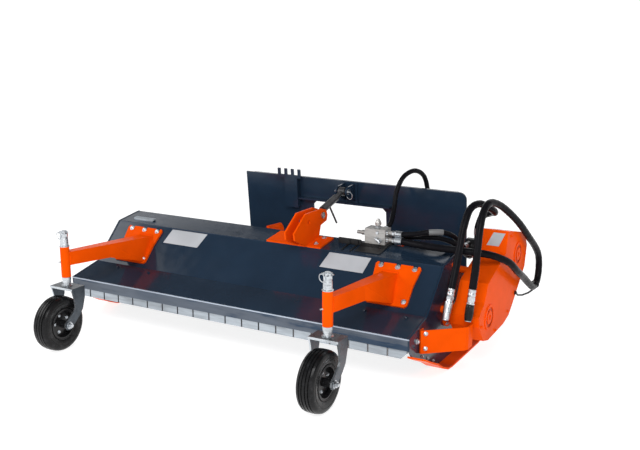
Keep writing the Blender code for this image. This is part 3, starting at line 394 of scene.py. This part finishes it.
def sleeve(name, colour):
    """Woven nylon sleeve: two crossing bands of threads."""
    tree, shader = shader_tree(name)
    weave = []
    for turn in (0.785, -0.785):
        wave = tree.nodes.new("ShaderNodeTexWave")
        wave.wave_type = "BANDS"
        wave.bands_direction = "DIAGONAL"
        wave.inputs["Scale"].default_value = 95.0
        wave.inputs["Distortion"].default_value = 1.2
        place = tree.nodes.new("ShaderNodeTexCoord")
        mapping = tree.nodes.new("ShaderNodeMapping")
        mapping.inputs["Rotation"].default_value = (turn, 0.4, turn)
        tree.links.new(place.outputs["Object"], mapping.inputs["Vector"])
        tree.links.new(mapping.outputs["Vector"], wave.inputs["Vector"])
        weave.append(wave.outputs["Fac"])
    both = tree.nodes.new("ShaderNodeMath")
    both.operation = "MAXIMUM"
    tree.links.new(weave[0], both.inputs[0])
    tree.links.new(weave[1], both.inputs[1])
    fold = noise(tree, 20.0, 5.0)
    total = tree.nodes.new("ShaderNodeMath")
    total.operation = "ADD"
    tree.links.new(both.outputs[0], total.inputs[0])
    tree.links.new(fold, total.inputs[1])
    base = ramp(tree, total.outputs[0], [(0.45, tint(colour, 0.55)), (0.85, colour), (1.0, tint(colour, 2.6))])
    tree.links.new(base, shader.inputs["Base Color"])
    tree.links.new(spread(tree, fold, 0.16, 0.34), shader.inputs["Roughness"])
    shader.inputs["IOR"].default_value = 1.12
    bump(tree, shader, total.outputs[0], 0.22, 0.0006)


NODE_FINISH = {
    "deck_navy": ("deck_shell",),
    "navy": ("side_plate_left", "side_plate_right", "attach_plate", "hose_comb", "top_link_ears"),
    "orange": ("skid_left", "skid_right", "rotor_bearing_right", "caster_arm_left", "caster_arm_right", "rear_beam",
               "hitch_arm_left", "hitch_arm_right", "top_link_tower", "drive_plate", "belt_cover", "corner_guard"),
    "flap_zinc": ("front_flaps",),
    "zinc": ("caster_axle_left", "caster_axle_right", "tower_pin", "ear_pin", "hitch_pin_left", "hitch_pin_right",
             "coupler_a", "coupler_b", "coupler_c"),
    "fork_zinc": ("caster_fork_left", "caster_fork_right"),
    "steel": ("rotor", "link_barrel", "link_rod"),
    "alloy": ("valve_block",),
    "rubber": ("wheel_tyre_left", "wheel_tyre_right"),
    "black": ("rear_roller", "wheel_rim_left", "wheel_rim_right", "rotor_bearing_left", "hydraulic_motor",
              "valve_bracket"),
    "sleeve": ("motor_line_in", "motor_line_out", "supply_hose_a", "supply_hose_b", "drain_hose"),
}


def on_panel(along, out):
    """Point on the deck's slanting front panel, measured up from the crease."""
    panel = Vector((TOP_FRONT[0] - CREASE[0], TOP_FRONT[1] - CREASE[1])).normalized()
    point = Vector(CREASE) + panel * along + Vector((-panel.y, panel.x)) * out
    return (point.x, point.y)


# The panel's outward direction
PANEL_OUT = (0.0, -0.7031, 0.7111)


def smooth_line(route, step):
    """Points a step apart on a smooth curve; the first and last stretch stay straight."""
    points = [Vector(p) for p in route]
    fine = []
    for i in range(1, len(points) - 2):
        a, b, c, d = points[i - 1:i + 3]
        for k in range(24):
            t = k / 24
            fine.append(0.5 * (2 * b + (c - a) * t + (2 * a - 5 * b + 4 * c - d) * t ** 2
                               + (3 * b - a - 3 * c + d) * t ** 3))
    fine.append(points[-2])
    total = sum((q - p).length for p, q in zip(fine, fine[1:]))
    count = max(2, round(total / step))
    line = [points[0], fine[0]]
    walked = 0.0
    for p, q in zip(fine, fine[1:]):
        length = (q - p).length
        while len(line) - 1 < count and walked + length >= (len(line) - 1) * total / count:
            line.append(p.lerp(q, ((len(line) - 1) * total / count - walked) / length))
        walked += length
    return line + [fine[-1], points[-1]]


class MOWER_PG_look(bpy.types.PropertyGroup):
    navy: FloatVectorProperty(name="Navy paint", description="Colour of the deck and the attach plate",
                              default=(0.0130, 0.0270, 0.0500), subtype="COLOR", size=3)
    orange: FloatVectorProperty(name="Orange paint", description="Colour of arms, skids and belt cover",
                                default=(0.84, 0.082, 0.0015), subtype="COLOR", size=3)
    zinc: FloatVectorProperty(name="Zinc", description="Colour of plated pins and bolts",
                              default=(0.60, 0.63, 0.66), subtype="COLOR", size=3)
    rubber: FloatVectorProperty(name="Rubber", description="Colour of the tyres",
                                default=(0.0070, 0.0070, 0.0076), subtype="COLOR", size=3)
    sleeve: FloatVectorProperty(name="Hose sleeve", description="Colour of the woven sleeves",
                                default=(0.0032, 0.0032, 0.0040), subtype="COLOR", size=3)


class MOWER_PG_size(bpy.types.PropertyGroup):
    bolt: FloatProperty(name="Bolt", description="Half width of a bolt head", default=0.0085, unit="LENGTH")
    groove: FloatProperty(name="Groove", description="Depth of the tyre grooves", default=0.0042, unit="LENGTH")
    label: FloatProperty(name="Blank plate", description="Thickness of a blank plate", default=0.0008, unit="LENGTH")
    ferrule: FloatProperty(name="Ferrule", description="Length of a crimped hose end", default=0.034, unit="LENGTH")
    tyre_steps: IntProperty(name="Tyre steps", description="Steps round a tyre", default=72)


class MOWER_PG_stage(bpy.types.PropertyGroup):
    lens: FloatProperty(name="Lens", description="Focal length in millimetres", default=50.943)
    key: FloatProperty(name="Key light", description="Power of the key light", default=140.0, unit="POWER")
    fill: FloatProperty(name="Fill light", description="Power of the fill light", default=70.0, unit="POWER")
    world: FloatProperty(name="World", description="Strength of the sky", default=0.12)
    glow: FloatProperty(name="Floor glow", description="Light that the floor gives by itself", default=0.84)


class MOWER_OT_finishes(bpy.types.Operator):
    """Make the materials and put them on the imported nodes."""
    bl_idname = "mower.finishes"
    bl_label = "Finishes"

    def execute(self, context):
        look = context.scene.mower_look
        paint("navy", tuple(look.navy), (0.10, 0.20), 1.5, 0.30, 0.001)
        paint("orange", tuple(look.orange), (0.15, 0.25), 1.10, 0.18)
        # The pale lip colour is painted light on the deck's forward faces.
        deck_paint_with_painted_lip_light("deck_navy", tuple(look.navy), (0.098, 0.120, 0.155))
        paint("black", (0.009, 0.009, 0.010), (0.24, 0.40), 1.4, 0.5, 0.006)
        # Dark red for painted shade in the vent slots.
        paint("painted_slot_shade", (0.21, 0.018, 0.003), (0.30, 0.46), 1.2)
        paint("blank_white", (0.46, 0.48, 0.51), (0.30, 0.45), 1.4, 0.5, 0.02)
        paint("blank_grey", (0.17, 0.175, 0.18), (0.30, 0.45), 1.4, 0.5, 0.02)
        metal("zinc", tuple(look.zinc))
        metal("bright_zinc", (0.42, 0.465, 0.51), (0.36, 0.54), 0.6)
        # Pale navy for a painted highlight along the lip's bend.
        paint("painted_edge_highlight", (0.40, 0.46, 0.54), (0.20, 0.34))
        flap_metal_with_painted_gap_shade("flap_zinc", (0.42, 0.465, 0.51), FLAP_START + SHIFT.x, FLAP_PITCH, 0.0034)
        # The fork's cut edges get a painted highlight.
        metal_with_painted_edge_highlight("fork_zinc", (0.085, 0.098, 0.112), (0.62, 0.66, 0.70), (0.24, 0.38))
        metal("steel", (0.085, 0.085, 0.090), (0.30, 0.50), 0.8)
        metal("alloy", (0.44, 0.43, 0.415), (0.34, 0.50), 0.7, (1.0, 1.0, 6.0))
        rubber("rubber", tuple(look.rubber), 4.5, (0.16, 0.42))
        sleeve("sleeve", tuple(look.sleeve))
        for finish, names in NODE_FINISH.items():
            for name in names:
                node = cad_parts[name]
                if not node.material_slots:
                    raise RuntimeError("no material slot on " + name)
                for place in node.material_slots:
                    place.material = FINISHES[finish]
        return {"FINISHED"}


def curve_hose(name, route, radius, node):
    """Sleeved hose as a curve with small folds; gives the object and its length."""
    line = smooth_line(route, 0.0085)
    curve = bpy.data.curves.new(name, "CURVE")
    curve.dimensions = "3D"
    curve.bevel_depth = radius
    curve.bevel_resolution = 5
    curve.use_fill_caps = True
    spline = curve.splines.new("POLY")
    spline.points.add(len(line) - 1)
    last = len(line) - 1
    for k, (point, place) in enumerate(zip(spline.points, line)):
        point.co = (*(place + SHIFT), 1.0)
        fade = min(1.0, k / 6.0, (last - k) / 6.0)
        fold = math.sin(k * 1.31 + radius * 900.0) + 0.7 * math.sin(k * 2.17 + 1.0) + 0.6 * math.sin(k * 0.37)
        point.radius = 1.0 - 0.030 * fade * (1.2 + 0.5 * fold)
    curve.materials.append(FINISHES["sleeve"])
    obj = bpy.data.objects.new(name, curve)
    bpy.context.scene.collection.objects.link(obj)
    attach(obj, "deck")
    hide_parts(node)
    return obj, sum((q - p).length for p, q in zip(line, line[1:]))


def coupler(name, route, node, capped):
    """Quick coupler: hexagon, ringed sleeve and nose, or a dark cap over the nose."""
    end, before = Vector(route[-1]), Vector(route[-2])
    axis = (end - before).normalized()
    start = end + axis * SEAT
    piece = Piece(name)
    piece.lathe([(0.0130, 0.0), (0.0163, 0.003), (0.0165, 0.012), (0.0152, 0.014), (0.0152, 0.018), (0.0165, 0.020),
                 (0.0165, 0.030), (0.0150, 0.033)], start, axis, 28)
    piece.lathe([(0.0160, 0.0335), (0.0172, 0.0355), (0.0172, 0.0490), (0.0160, 0.0510)], start, axis, 6)
    nose = [(0.0150, 0.0505), (0.0150, 0.0590), (0.0180, 0.0605)]
    if capped:
        piece.lathe(nose + [(0.0183, 0.0640), (0.0170, 0.0660), (0.0140, 0.0670), (0.0140, 0.1380)], start, axis, 28)
        cap = Piece(name + "_cap")
        cap.lathe([(0.0160, 0.0672), (0.0176, 0.0700), (0.0185, 0.0790), (0.0185, 0.1060), (0.0176, 0.1200),
                   (0.0158, 0.1330), (0.0120, 0.1390), (0.0060, 0.1400)], start, axis, 28)
        extra = [cap.make("rubber", "deck", "tyre_rubber")]
    else:
        for k in range(5):
            a = 0.0630 + k * 0.0085
            nose += [(0.0185, a), (0.0185, a + 0.0052), (0.0174, a + 0.0060), (0.0174, a + 0.0078)]
        nose += [(0.0176, 0.1055), (0.0165, 0.1060), (0.0165, 0.1300), (0.0158, 0.1340), (0.0140, 0.1350),
                 (0.0140, 0.1400)]
        piece.lathe(nose, start, axis, 28)
        extra = []
    obj = piece.make("zinc", "deck", "zinc_plate")
    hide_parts(node)
    return [obj] + extra


def ferrule(piece, start, toward, radius, length):
    """Crimped metal end with rings, over the first stretch of a hose."""
    axis = (Vector(toward) - Vector(start)).normalized()
    r = radius + 0.0012
    profile = [(radius * 0.6, 0.0), (r, 0.001)]
    rings = 4
    for i in range(rings):
        a = 0.003 + i * (length - 0.006) / rings
        profile += [(r + 0.0010, a), (r + 0.0010, a + 0.0045), (r, a + 0.0055), (r, a + 0.0065)]
    profile += [(r, length), (radius * 0.9, length + 0.0005)]
    piece.lathe(profile, start, axis, 26)


class MOWER_OT_hoses(bpy.types.Operator):
    """Supply hoses with couplers, motor lines and drain hose."""
    bl_idname = "mower.hoses"
    bl_label = "Hoses"

    def execute(self, context):
        size = context.scene.mower_size
        ends = Piece("hose_ferrules")
        for name, route, radius, node, plug in (
                ("supply_sleeve_a", SUPPLY_A, SUPPLY_R, "supply_hose_a", "a"),
                ("supply_sleeve_b", SUPPLY_B, SUPPLY_R, "supply_hose_b", "b"),
                ("line_sleeve_in", LINE_IN, LINE_R, "motor_line_in", None),
                ("line_sleeve_out", LINE_OUT, LINE_R, "motor_line_out", None),
                ("drain_sleeve", DRAIN, LINE_R, "drain_hose", "c")):
            obj, length = curve_hose(name, route, radius, node)
            ferrule(ends, route[0], route[1], radius, size.ferrule)
            if plug is None:
                ferrule(ends, route[-1], route[-2], radius, size.ferrule)
                continue
            tips = coupler("quick_coupler_" + plug, route, "coupler_" + plug, plug == "a")
        ends.make("zinc", "deck", "zinc_plate")
        tag = Piece("line_blank_tag")
        tag.tube([p for p in smooth_line(LINE_IN, 0.008) if 0.786 < p.x < 0.850], LINE_R + 0.0009, 26)
        tag.make("blank_grey", "deck", "hose_rubber")
        tie = Piece("hose_tie")
        tie.torus((1.153, 1.000, 0.2325), (0.0, 1.0, 0.13), SUPPLY_R + 0.0010, 0.0028, 30)
        tie.tube([(1.153, 0.990, 0.2125), (1.142, 0.930, 0.206), (1.129, 0.870, 0.209), (1.1215, 0.825, 0.221),
                  (1.1205, 0.800, 0.236)], 0.0045, 12)
        tie.bolt((COVER_X + SEAT, 0.797, 0.240), ALONG_X, 0.0075)
        tie.make("rubber", "deck", "tyre_rubber")
        return {"FINISHED"}


class MOWER_OT_wheels(bpy.types.Operator):
    """Ribbed tyres, rim bolts and axle nuts of both casters."""
    bl_idname = "mower.wheels"
    bl_label = "Wheels"

    def execute(self, context):
        size = context.scene.mower_size
        groove = size.groove
        for side, label in SIDES:
            centre = (side * CASTER_X, *AXLE)
            half = [(0.0050, WHEEL_R), (0.0062, WHEEL_R - groove), (0.0090, WHEEL_R - groove),
                    (0.0102, WHEEL_R - 0.0002), (0.0180, WHEEL_R - 0.0008), (0.0192, WHEEL_R - groove - 0.001),
                    (0.0220, WHEEL_R - groove - 0.001), (0.0232, WHEEL_R - 0.0016), (0.0310, WHEEL_R - 0.0040),
                    (0.0352, WHEEL_R - 0.0075), (0.0385, WHEEL_R - 0.0125), (TYRE_HALF, WHEEL_R - 0.0190),
                    (TYRE_HALF, WHEEL_R - 0.0250), (0.0388, WHEEL_R - 0.0258), (0.0388, WHEEL_R - 0.0300),
                    (TYRE_HALF, WHEEL_R - 0.0308), (0.0394, RIM_R + 0.0160), (0.0372, RIM_R + 0.0080),
                    (0.0362, RIM_R + 0.0040), (0.0335, RIM_R + 0.0025), (0.0330, RIM_R + 0.0003)]
            profile = [(r, -x) for x, r in reversed(half)] + [(r, x) for x, r in half]
            tyre = Piece("tyre_" + label)
            tyre.lathe(profile, centre, ALONG_X, size.tyre_steps, ends=False)
            tyre = tyre.make("rubber", "wheel_" + label, "tyre_rubber", 28.0)
            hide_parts("wheel_tyre_" + label)
            bolts = Piece("rim_bolts_" + label)
            for k in range(5):
                a = 2.0 * math.pi * k / 5 + 0.5
                for face in (-1, 1):
                    place = (centre[0] + face * 0.0166, AXLE[0] + 0.040 * math.cos(a), AXLE[1] + 0.040 * math.sin(a))
                    bolts.bolt(place, (face, 0, 0), 0.0055)
            bolts.make("zinc", "wheel_" + label, "zinc_plate")
            lip = Piece("rim_lip_" + label)
            for face in (-1, 1):
                lip.torus((centre[0] + face * 0.0362, *AXLE), ALONG_X, RIM_R - 0.0015, 0.0022, 56)
            lip.make("black", "wheel_" + label, "black_paint")
            nuts = Piece("axle_nuts_" + label)
            for face in (-1, 1):
                start = (centre[0] + face * 0.0686, *AXLE)
                for steps, turned in ((24, [(0.0165, 0.0), (0.0165, 0.0022), (0.0150, 0.0024)]),
                                      (6, [(0.0136, 0.0020), (0.0144, 0.0028), (0.0144, 0.0100), (0.0130, 0.0112)]),
                                      (18, [(0.0078, 0.0060), (0.0078, 0.0185), (0.0070, 0.0195)])):
                    nuts.lathe(turned, start, (face, 0, 0), steps)
            nuts.make("zinc", "swivel_fork_" + label, "zinc_plate")
        return {"FINISHED"}


class MOWER_OT_kingpins(bpy.types.Operator):
    """Washers, slotted nut, linch ring and grease nipple at each kingpin."""
    bl_idname = "mower.kingpins"
    bl_label = "Kingpins"

    def execute(self, context):
        base = SLEEVE_TOP + 0.0004
        for side, label in SIDES:
            x = side * CASTER_X
            axis_foot = (x, CASTER_Y, 0)
            pin = Piece("kingpin_nut_" + label)
            pin.lathe([(0.0235, base), (0.0235, base + 0.0030), (0.0222, base + 0.0034)], axis_foot, UP, 30)
            for k in range(3):
                z = base + 0.0038 + k * 0.0112
                pin.lathe([(0.0186, z), (0.0192, z + 0.0012), (0.0192, z + 0.0092), (0.0186, z + 0.0104)],
                          axis_foot, UP, 30)
            pin.lathe([(0.0178, 0.5155), (0.0178, 0.5250)], axis_foot, UP, 30)
            pin.lathe([(0.0185, 0.5250), (0.0198, 0.5262), (0.0198, 0.5388), (0.0185, 0.5400)], axis_foot, UP, 6)
            for k in range(6):
                a = math.pi * (k + 0.5) / 3
                spot = (x + 0.0142 * math.cos(a), CASTER_Y + 0.0142 * math.sin(a), 0)
                pin.lathe([(0.0046, 0.5396), (0.0046, 0.5500), (0.0036, 0.5510)], spot, UP, 8)
            pin.lathe([(0.0118, 0.5396), (0.0118, 0.5525), (0.0105, 0.5535)], axis_foot, UP, 20)
            pin.torus((x - 0.0165, CASTER_Y - 0.016, 0.5300), (0.35, 1.0, 0.1), 0.0165, 0.0018, 30)
            pin.lathe([(0.0030, -0.026), (0.0030, 0.026)], (x, CASTER_Y, 0.5450), (1.0, 0.1, 0.0), 12)
            pin.make("zinc", "swivel_fork_" + label, "zinc_plate")
            foot = Piece("kingpin_foot_" + label)
            foot.lathe([(0.0245, 0.2903), (0.0245, 0.2932), (0.0185, 0.2950), (0.0178, 0.3030), (0.0178, 0.3060),
                        (0.0196, 0.3075), (0.0196, 0.3190), (0.0208, 0.3200), (0.0208, 0.3320)], axis_foot, UP, 30)
            foot.make("zinc", "swivel_fork_" + label, "zinc_plate")
            nipple = Piece("grease_nipple_" + label)
            nipple.lathe([(0.0040, 0.0), (0.0040, 0.0035), (0.0024, 0.0045), (0.0024, 0.0070), (0.0034, 0.0080),
                          (0.0030, 0.0110), (0.0015, 0.0120)],
                         (x - 0.0125, CASTER_Y - 0.0172, 0.405), (-0.6, -0.8, 0.0), 14)
            nipple.make("zinc", "deck", "zinc_plate")
        return {"FINISHED"}


def ring_of_four(centre, radius):
    """Four points of a square bolt pattern about a (Y, Z) centre."""
    turns = [math.pi * (0.25 + 0.5 * k) for k in range(4)]
    return [(centre[0] + radius * math.cos(a), centre[1] + radius * math.sin(a)) for a in turns]


class MOWER_OT_fasteners(bpy.types.Operator):
    """Bolts on arm plates, tower, hitch, guard, bearings and drive."""
    bl_idname = "mower.fasteners"
    bl_label = "Fasteners"

    def execute(self, context):
        head = context.scene.mower_size.bolt
        panel = Piece("panel_bolts")
        for x in (-0.753, -0.556, 0.646, 0.843):
            panel.bolt((x, 0.150, 0.2628), (0, -0.213, 0.977), head * 0.7)
        panel.make("navy", "deck", "navy_paint")
        deck = Piece("deck_bolts")
        for side in (-1, 1):
            for offset, along in ((-0.082, 0.212), (0.0, 0.212), (0.082, 0.212), (-0.082, 0.048), (0.082, 0.048)):
                y, z = on_panel(along, 0.0104)
                deck.bolt((side * ARM_PLATE_X + offset, y, z), PANEL_OUT, head)
        for y, z in ((0.396, 0.4610), (0.474, 0.4719)):
            for x in (0.152, 0.264):
                deck.bolt((x, y, z), (0, -0.14, 0.99), head * 0.9)
        for z in (0.224, 0.158):
            deck.bolt((0.9505, 0.1114, z), (0.663, -0.749, 0.0), head * 0.8)
        deck.bolt((SIDE_X + SEAT, 0.078, 0.196), ALONG_X, head * 1.05)
        for side in (-1, 1):
            for y, z in SKID_BOLTS:
                deck.bolt((side * (SIDE_X + SEAT), y, z), (side, 0, 0), head * 0.6)
            for dy in (-0.034, 0.034):
                deck.bolt((side * (SIDE_X + SEAT), ROLLER[0] + dy, ROLLER[1] + 0.020), (side, 0, 0), head * 0.8)
            for y, z in ring_of_four(ROTOR, 0.050):
                deck.bolt((side * (SIDE_X + 0.0104), y, z), (side, 0, 0), head * 0.8)
        deck.make("zinc", "deck", "zinc_plate")
        cover = Piece("cover_bolts")
        for y, z in COVER_BOLTS:
            cover.bolt((COVER_X + 0.0002, y, z), ALONG_X, head * 0.62)
        cover.make("orange", "deck", "orange_paint")
        motor = Piece("motor_bolts")
        for y, z in ring_of_four(MOTOR, 0.055):
            motor.bolt((0.9700, y, z), (-1, 0, 0), head * 0.7)
        motor.make("zinc", "deck", "zinc_plate")
        ring = Piece("ear_pin_ring")
        ring.torus((HITCH_X + 0.043, 0.762, 0.627), (0.25, 1.0, 0.1), 0.0190, 0.0018, 30)
        ring.make("zinc", "hitch", "zinc_plate")
        plug = Piece("side_plug")
        plug.bolt((SIDE_X + SEAT, 0.467, 0.430), ALONG_X, head)
        plug.make("orange", "deck", "orange_paint")
        hammers = Piece("hammer_bolts")
        for i in range(HAMMER_STATIONS):
            x = (i - (HAMMER_STATIONS - 1) / 2) * HAMMER_PITCH
            for half in range(2):
                a = math.radians(67.5 * i + 180.0 * half)
                y, z = ROTOR[0] + 0.086 * math.cos(a), ROTOR[1] + 0.086 * math.sin(a)
                for face in (-1, 1):
                    hammers.lathe([(0.0095, 0.0), (0.0095, 0.0050), (0.0080, 0.0062)], (x + face * 0.0232, y, z),
                                  (face, 0, 0), 6)
        hammers.make("zinc", "hammer_rotor", "zinc_plate")
        return {"FINISHED"}


class MOWER_OT_welds(bpy.types.Operator):
    """Weld beads and the small brackets on the deck."""
    bl_idname = "mower.welds"
    bl_label = "Welds and brackets"

    def execute(self, context):
        beads = Piece("deck_welds")
        for side in (-1, 1):
            x = side * (SIDE_X - 0.0085)
            folds = [(x, y, z + 0.0004) for y, z in (CREASE, TOP_FRONT, TOP_REAR)]
            beads.tube([(x, 0.002, 0.2302), *folds, (x, 0.6124, 0.3302)], 0.0026)
        beads.make("navy", "deck", "navy_paint")
        arms = Piece("arm_welds")
        for side in (-1, 1):
            x = side * CASTER_X
            root = [(x + dx, *on_panel(a, 0.0108)) for dx, a in
                    ((-0.038, 0.188), (-0.0645, 0.036), (0.0645, 0.036), (0.038, 0.188), (-0.038, 0.188))]
            arms.tube(root, 0.0028)
            for dx in (-0.0195, 0.0195):
                arms.tube([(x + dx, CASTER_Y + 0.0125, 0.389), (x + dx, CASTER_Y + 0.0125, 0.451)], 0.0028)
        for x in (0.1796, 0.1884, 0.2276, 0.2364):
            arms.tube([(x, 0.368, 0.4570), (x, 0.472, 0.4717)], 0.0026)
        arms.make("orange", "deck", "orange_paint")
        # The lip fold bead carries a painted highlight; the top fold stays navy.
        for name, (y, z), finish in (("lip_fold", (0.0036, 0.2262), "painted_edge_highlight"),
                                     ("top_fold", (TOP_FRONT[0] + 0.0016, TOP_FRONT[1] - 0.0036), "navy")):
            fold = Piece(name).tube([(-SIDE_X + 0.001, y, z), (SIDE_X - 0.001, y, z)], 0.0045, 20)
            fold.make(finish, "deck", "navy_paint")
        rail = Piece("valve_rail")
        rail.skin([[(x, 0.462, 0.4626), (x, 0.500, 0.4682), (x, 0.500, 0.4720), (x, 0.4675, 0.4672),
                    (x, 0.4675, 0.4900), (x, 0.462, 0.4900)] for x in (0.350, 0.469)])
        for x in (0.408, 0.452):
            rail.skin([[(dx, 0.385, 0.4519), (dx, 0.4615, 0.4626), (dx, 0.4615, 0.4840), (dx, 0.4560, 0.4840),
                        (dx, 0.4560, 0.4660), (dx, 0.385, 0.4560)] for dx in (x - 0.004, x + 0.004)])
        rail.make("black", "deck", "black_paint")
        tab = Piece("deck_tab")
        tab.skin([[(-0.845, y, z), (-0.728, y, z), (-0.722, y, z + 0.004), (-0.722, y, z + 0.010),
                   (-0.851, y, z + 0.010), (-0.851, y, z + 0.004)] for y, z in ((0.400, 0.4534), (0.424, 0.4568))])
        tab.make("bright_zinc", "deck", "zinc_plate")
        # Thin dark rings on the vents: painted shade in the slots.
        slots = Piece("vent_slots")
        for y, z in VENTS:
            for radius in (0.0355, 0.0415):
                slots.torus((COVER_X + SEAT, y, z), ALONG_X, radius, 0.0012, 30, 6)
        slots.make("painted_slot_shade", "deck", "orange_paint")
        return {"FINISHED"}


class MOWER_OT_plates(bpy.types.Operator):
    """Blank plates where the machine carries signs."""
    bl_idname = "mower.plates"
    bl_label = "Blank plates"

    def execute(self, context):
        thick = context.scene.mower_size.label
        signs = Piece("blank_plates")
        low, high = on_panel(0.160, 0.0), on_panel(0.243, 0.0)
        for x in ((0.337, 0.560, 0.575, 0.360), (-0.576, -0.363, -0.339, -0.558)):
            signs.plate([(x[0], *low), (x[1], *low), (x[2], *high), (x[3], *high)], thick)
        signs.plate([(1.0206, 0.6354, 0.4968), (1.0783, 0.6354, 0.4968), (1.1020, 0.6517, 0.5557),
                     (1.0471, 0.6517, 0.5557)], thick)
        signs.make("blank_white", "deck", "navy_paint", 20.0)
        return {"FINISHED"}


class MOWER_OT_valve(bpy.types.Operator):
    """Plugs, screws and hose fittings of the valve block."""
    bl_idname = "mower.valve"
    bl_label = "Valve block"

    def execute(self, context):
        trim = Piece("valve_plugs")
        for x, z in ((0.560, 0.494), (0.545, 0.530)):
            trim.lathe([(0.0085, 0.0), (0.0085, 0.0040), (0.0072, 0.0052)], (x, 0.4778, z), (0, -1, 0), 6)
        for route in (LINE_IN, SUPPLY_A, LINE_OUT):
            _, y, z = route[0]
            trim.lathe([(0.0130, 0.0), (0.0142, 0.0010), (0.0142, 0.0110), (0.0130, 0.0120)],
                       (0.5843, y, z), ALONG_X, 6)
            trim.lathe([(0.0115, 0.0), (0.0125, 0.0010), (0.0125, 0.0100), (0.0115, 0.0110)],
                       (0.6140, y, z), ALONG_X, 6)
        trim.lathe([(0.0128, 0.0), (0.0138, 0.0010), (0.0138, 0.0120), (0.0128, 0.0130)],
                   (0.4797, 0.512, 0.515), (-1, 0, 0), 6)
        trim.lathe([(0.0142, 0.5462), (0.0142, 0.5540), (0.0120, 0.5560)], (0.533, 0.512, 0), UP, 6)
        trim.make("zinc", "deck", "valve_alloy")
        elbow = Piece("valve_elbow")
        elbow.tube([(0.540, 0.4785, 0.505), (0.540, 0.4700, 0.505), (0.5425, 0.4655, 0.5035), (0.548, 0.4640, 0.5000),
                    (0.562, 0.4640, 0.4920)], 0.0065, 14)
        elbow.lathe([(0.0085, 0.0), (0.0095, 0.0010), (0.0095, 0.0090), (0.0085, 0.0100)], (0.560, 0.4640, 0.4931),
                    (0.87, 0.0, -0.49), 6)
        elbow.make("zinc", "deck", "valve_alloy")
        return {"FINISHED"}


class MOWER_OT_stage(bpy.types.Operator):
    """Floor, lights, sky and camera."""
    bl_idname = "mower.stage"
    bl_label = "Stage"

    def execute(self, context):
        stage = context.scene.mower_stage
        mesh = bmesh.new()
        centre = mesh.verts.new((0.0, 0.0, 0.0))
        count = 80
        turns = [2.0 * math.pi * k / count for k in range(count)]
        rings = []
        for radius, height in ((4.0, 0.0), (9.0, 0.0), (11.0, 0.25), (12.2, 0.9), (12.8, 2.0), (13.0, 3.4),
                               (13.2, 6.6)):
            rings.append([mesh.verts.new((radius * math.cos(a), radius * math.sin(a), height)) for a in turns])
        for k in range(count):
            j = (k + 1) % count
            mesh.faces.new((centre, rings[0][k], rings[0][j]))
            for low, high in zip(rings, rings[1:]):
                mesh.faces.new((low[k], high[k], high[j], low[j]))
        data = bpy.data.meshes.new("floor")
        mesh.to_mesh(data)
        mesh.free()
        data.shade_smooth()
        floor = bpy.data.objects.new("floor", data)
        floor.location = (0.0, 0.0, -0.0005)
        context.scene.collection.objects.link(floor)
        tree, shader = shader_tree("floor")
        tree.links.new(ramp(tree, noise(tree, 0.8, 4.0), [(0.3, (0.40, 0.402, 0.405)), (0.7, (0.44, 0.44, 0.44))]),
                       shader.inputs["Base Color"])
        shader.inputs["Roughness"].default_value = 0.8
        shader.inputs["Specular IOR Level"].default_value = 0.1
        shader.inputs["Emission Color"].default_value = (1.0, 1.0, 1.0, 1.0)
        shader.inputs["Emission Strength"].default_value = stage.glow
        data.materials.append(FINISHES["floor"])

        camera = bpy.data.cameras.new("camera")
        camera.lens = stage.lens
        camera.sensor_width = 36.0
        camera.clip_end = 200.0
        eye = bpy.data.objects.new("camera", camera)
        eye.location = row(2.307, -3.219, 1.538)
        eye.rotation_euler = (math.radians(90.0 - 13.359), 0.0, math.radians(29.211))
        context.scene.collection.objects.link(eye)
        context.scene.camera = eye

        for name, place, power, width in (("key", (1.6, -3.4, 3.6), stage.key, 3.0),
                                          ("fill", (-3.6, -1.6, 2.6), stage.fill, 3.2),
                                          ("rim", (0.5, 4.2, 3.4), stage.fill * 0.5, 3.6)):
            lamp = bpy.data.lights.new(name, "AREA")
            lamp.energy = power
            lamp.shape = "RECTANGLE"
            lamp.size = width
            lamp.size_y = width * 0.6
            obj = bpy.data.objects.new(name, lamp)
            obj.location = place
            obj.rotation_euler = (Vector((0.0, 0.0, 0.25)) - Vector(place)).to_track_quat("-Z", "Y").to_euler()
            context.scene.collection.objects.link(obj)

        world = bpy.data.worlds.new("sky")
        world.use_nodes = True
        back = world.node_tree.nodes["Background"]
        back.inputs["Color"].default_value = (0.95, 0.97, 1.0, 1.0)
        back.inputs["Strength"].default_value = stage.world
        context.scene.world = world
        context.scene.view_settings.view_transform = "Standard"
        return {"FINISHED"}


OPERATORS = (MOWER_OT_finishes, MOWER_OT_hoses, MOWER_OT_wheels, MOWER_OT_kingpins, MOWER_OT_fasteners,
             MOWER_OT_welds, MOWER_OT_plates, MOWER_OT_valve, MOWER_OT_stage)
GROUPS = (MOWER_PG_look, MOWER_PG_size, MOWER_PG_stage)


class MOWER_PT_panel(bpy.types.Panel):
    bl_idname = "MOWER_PT_panel"
    bl_label = "Hammer mower"
    bl_space_type = "VIEW_3D"
    bl_region_type = "UI"
    bl_category = "Mower"

    def draw(self, context):
        for group in (context.scene.mower_look, context.scene.mower_size, context.scene.mower_stage):
            for name in type(group).__annotations__:
                self.layout.prop(group, name)
        for operator in OPERATORS:
            self.layout.operator(operator.bl_idname)


def register():
    for item in (*GROUPS, *OPERATORS, MOWER_PT_panel):
        bpy.utils.register_class(item)
    bpy.types.Scene.mower_look = PointerProperty(type=MOWER_PG_look)
    bpy.types.Scene.mower_size = PointerProperty(type=MOWER_PG_size)
    bpy.types.Scene.mower_stage = PointerProperty(type=MOWER_PG_stage)


def unregister():
    del bpy.types.Scene.mower_look
    del bpy.types.Scene.mower_size
    del bpy.types.Scene.mower_stage
    for item in reversed((*GROUPS, *OPERATORS, MOWER_PT_panel)):
        bpy.utils.unregister_class(item)


def main():
    register()
    for operator in OPERATORS:
        group, name = operator.bl_idname.split(".")
        getattr(getattr(bpy.ops, group), name)()


if __name__ == "__main__":
    main()
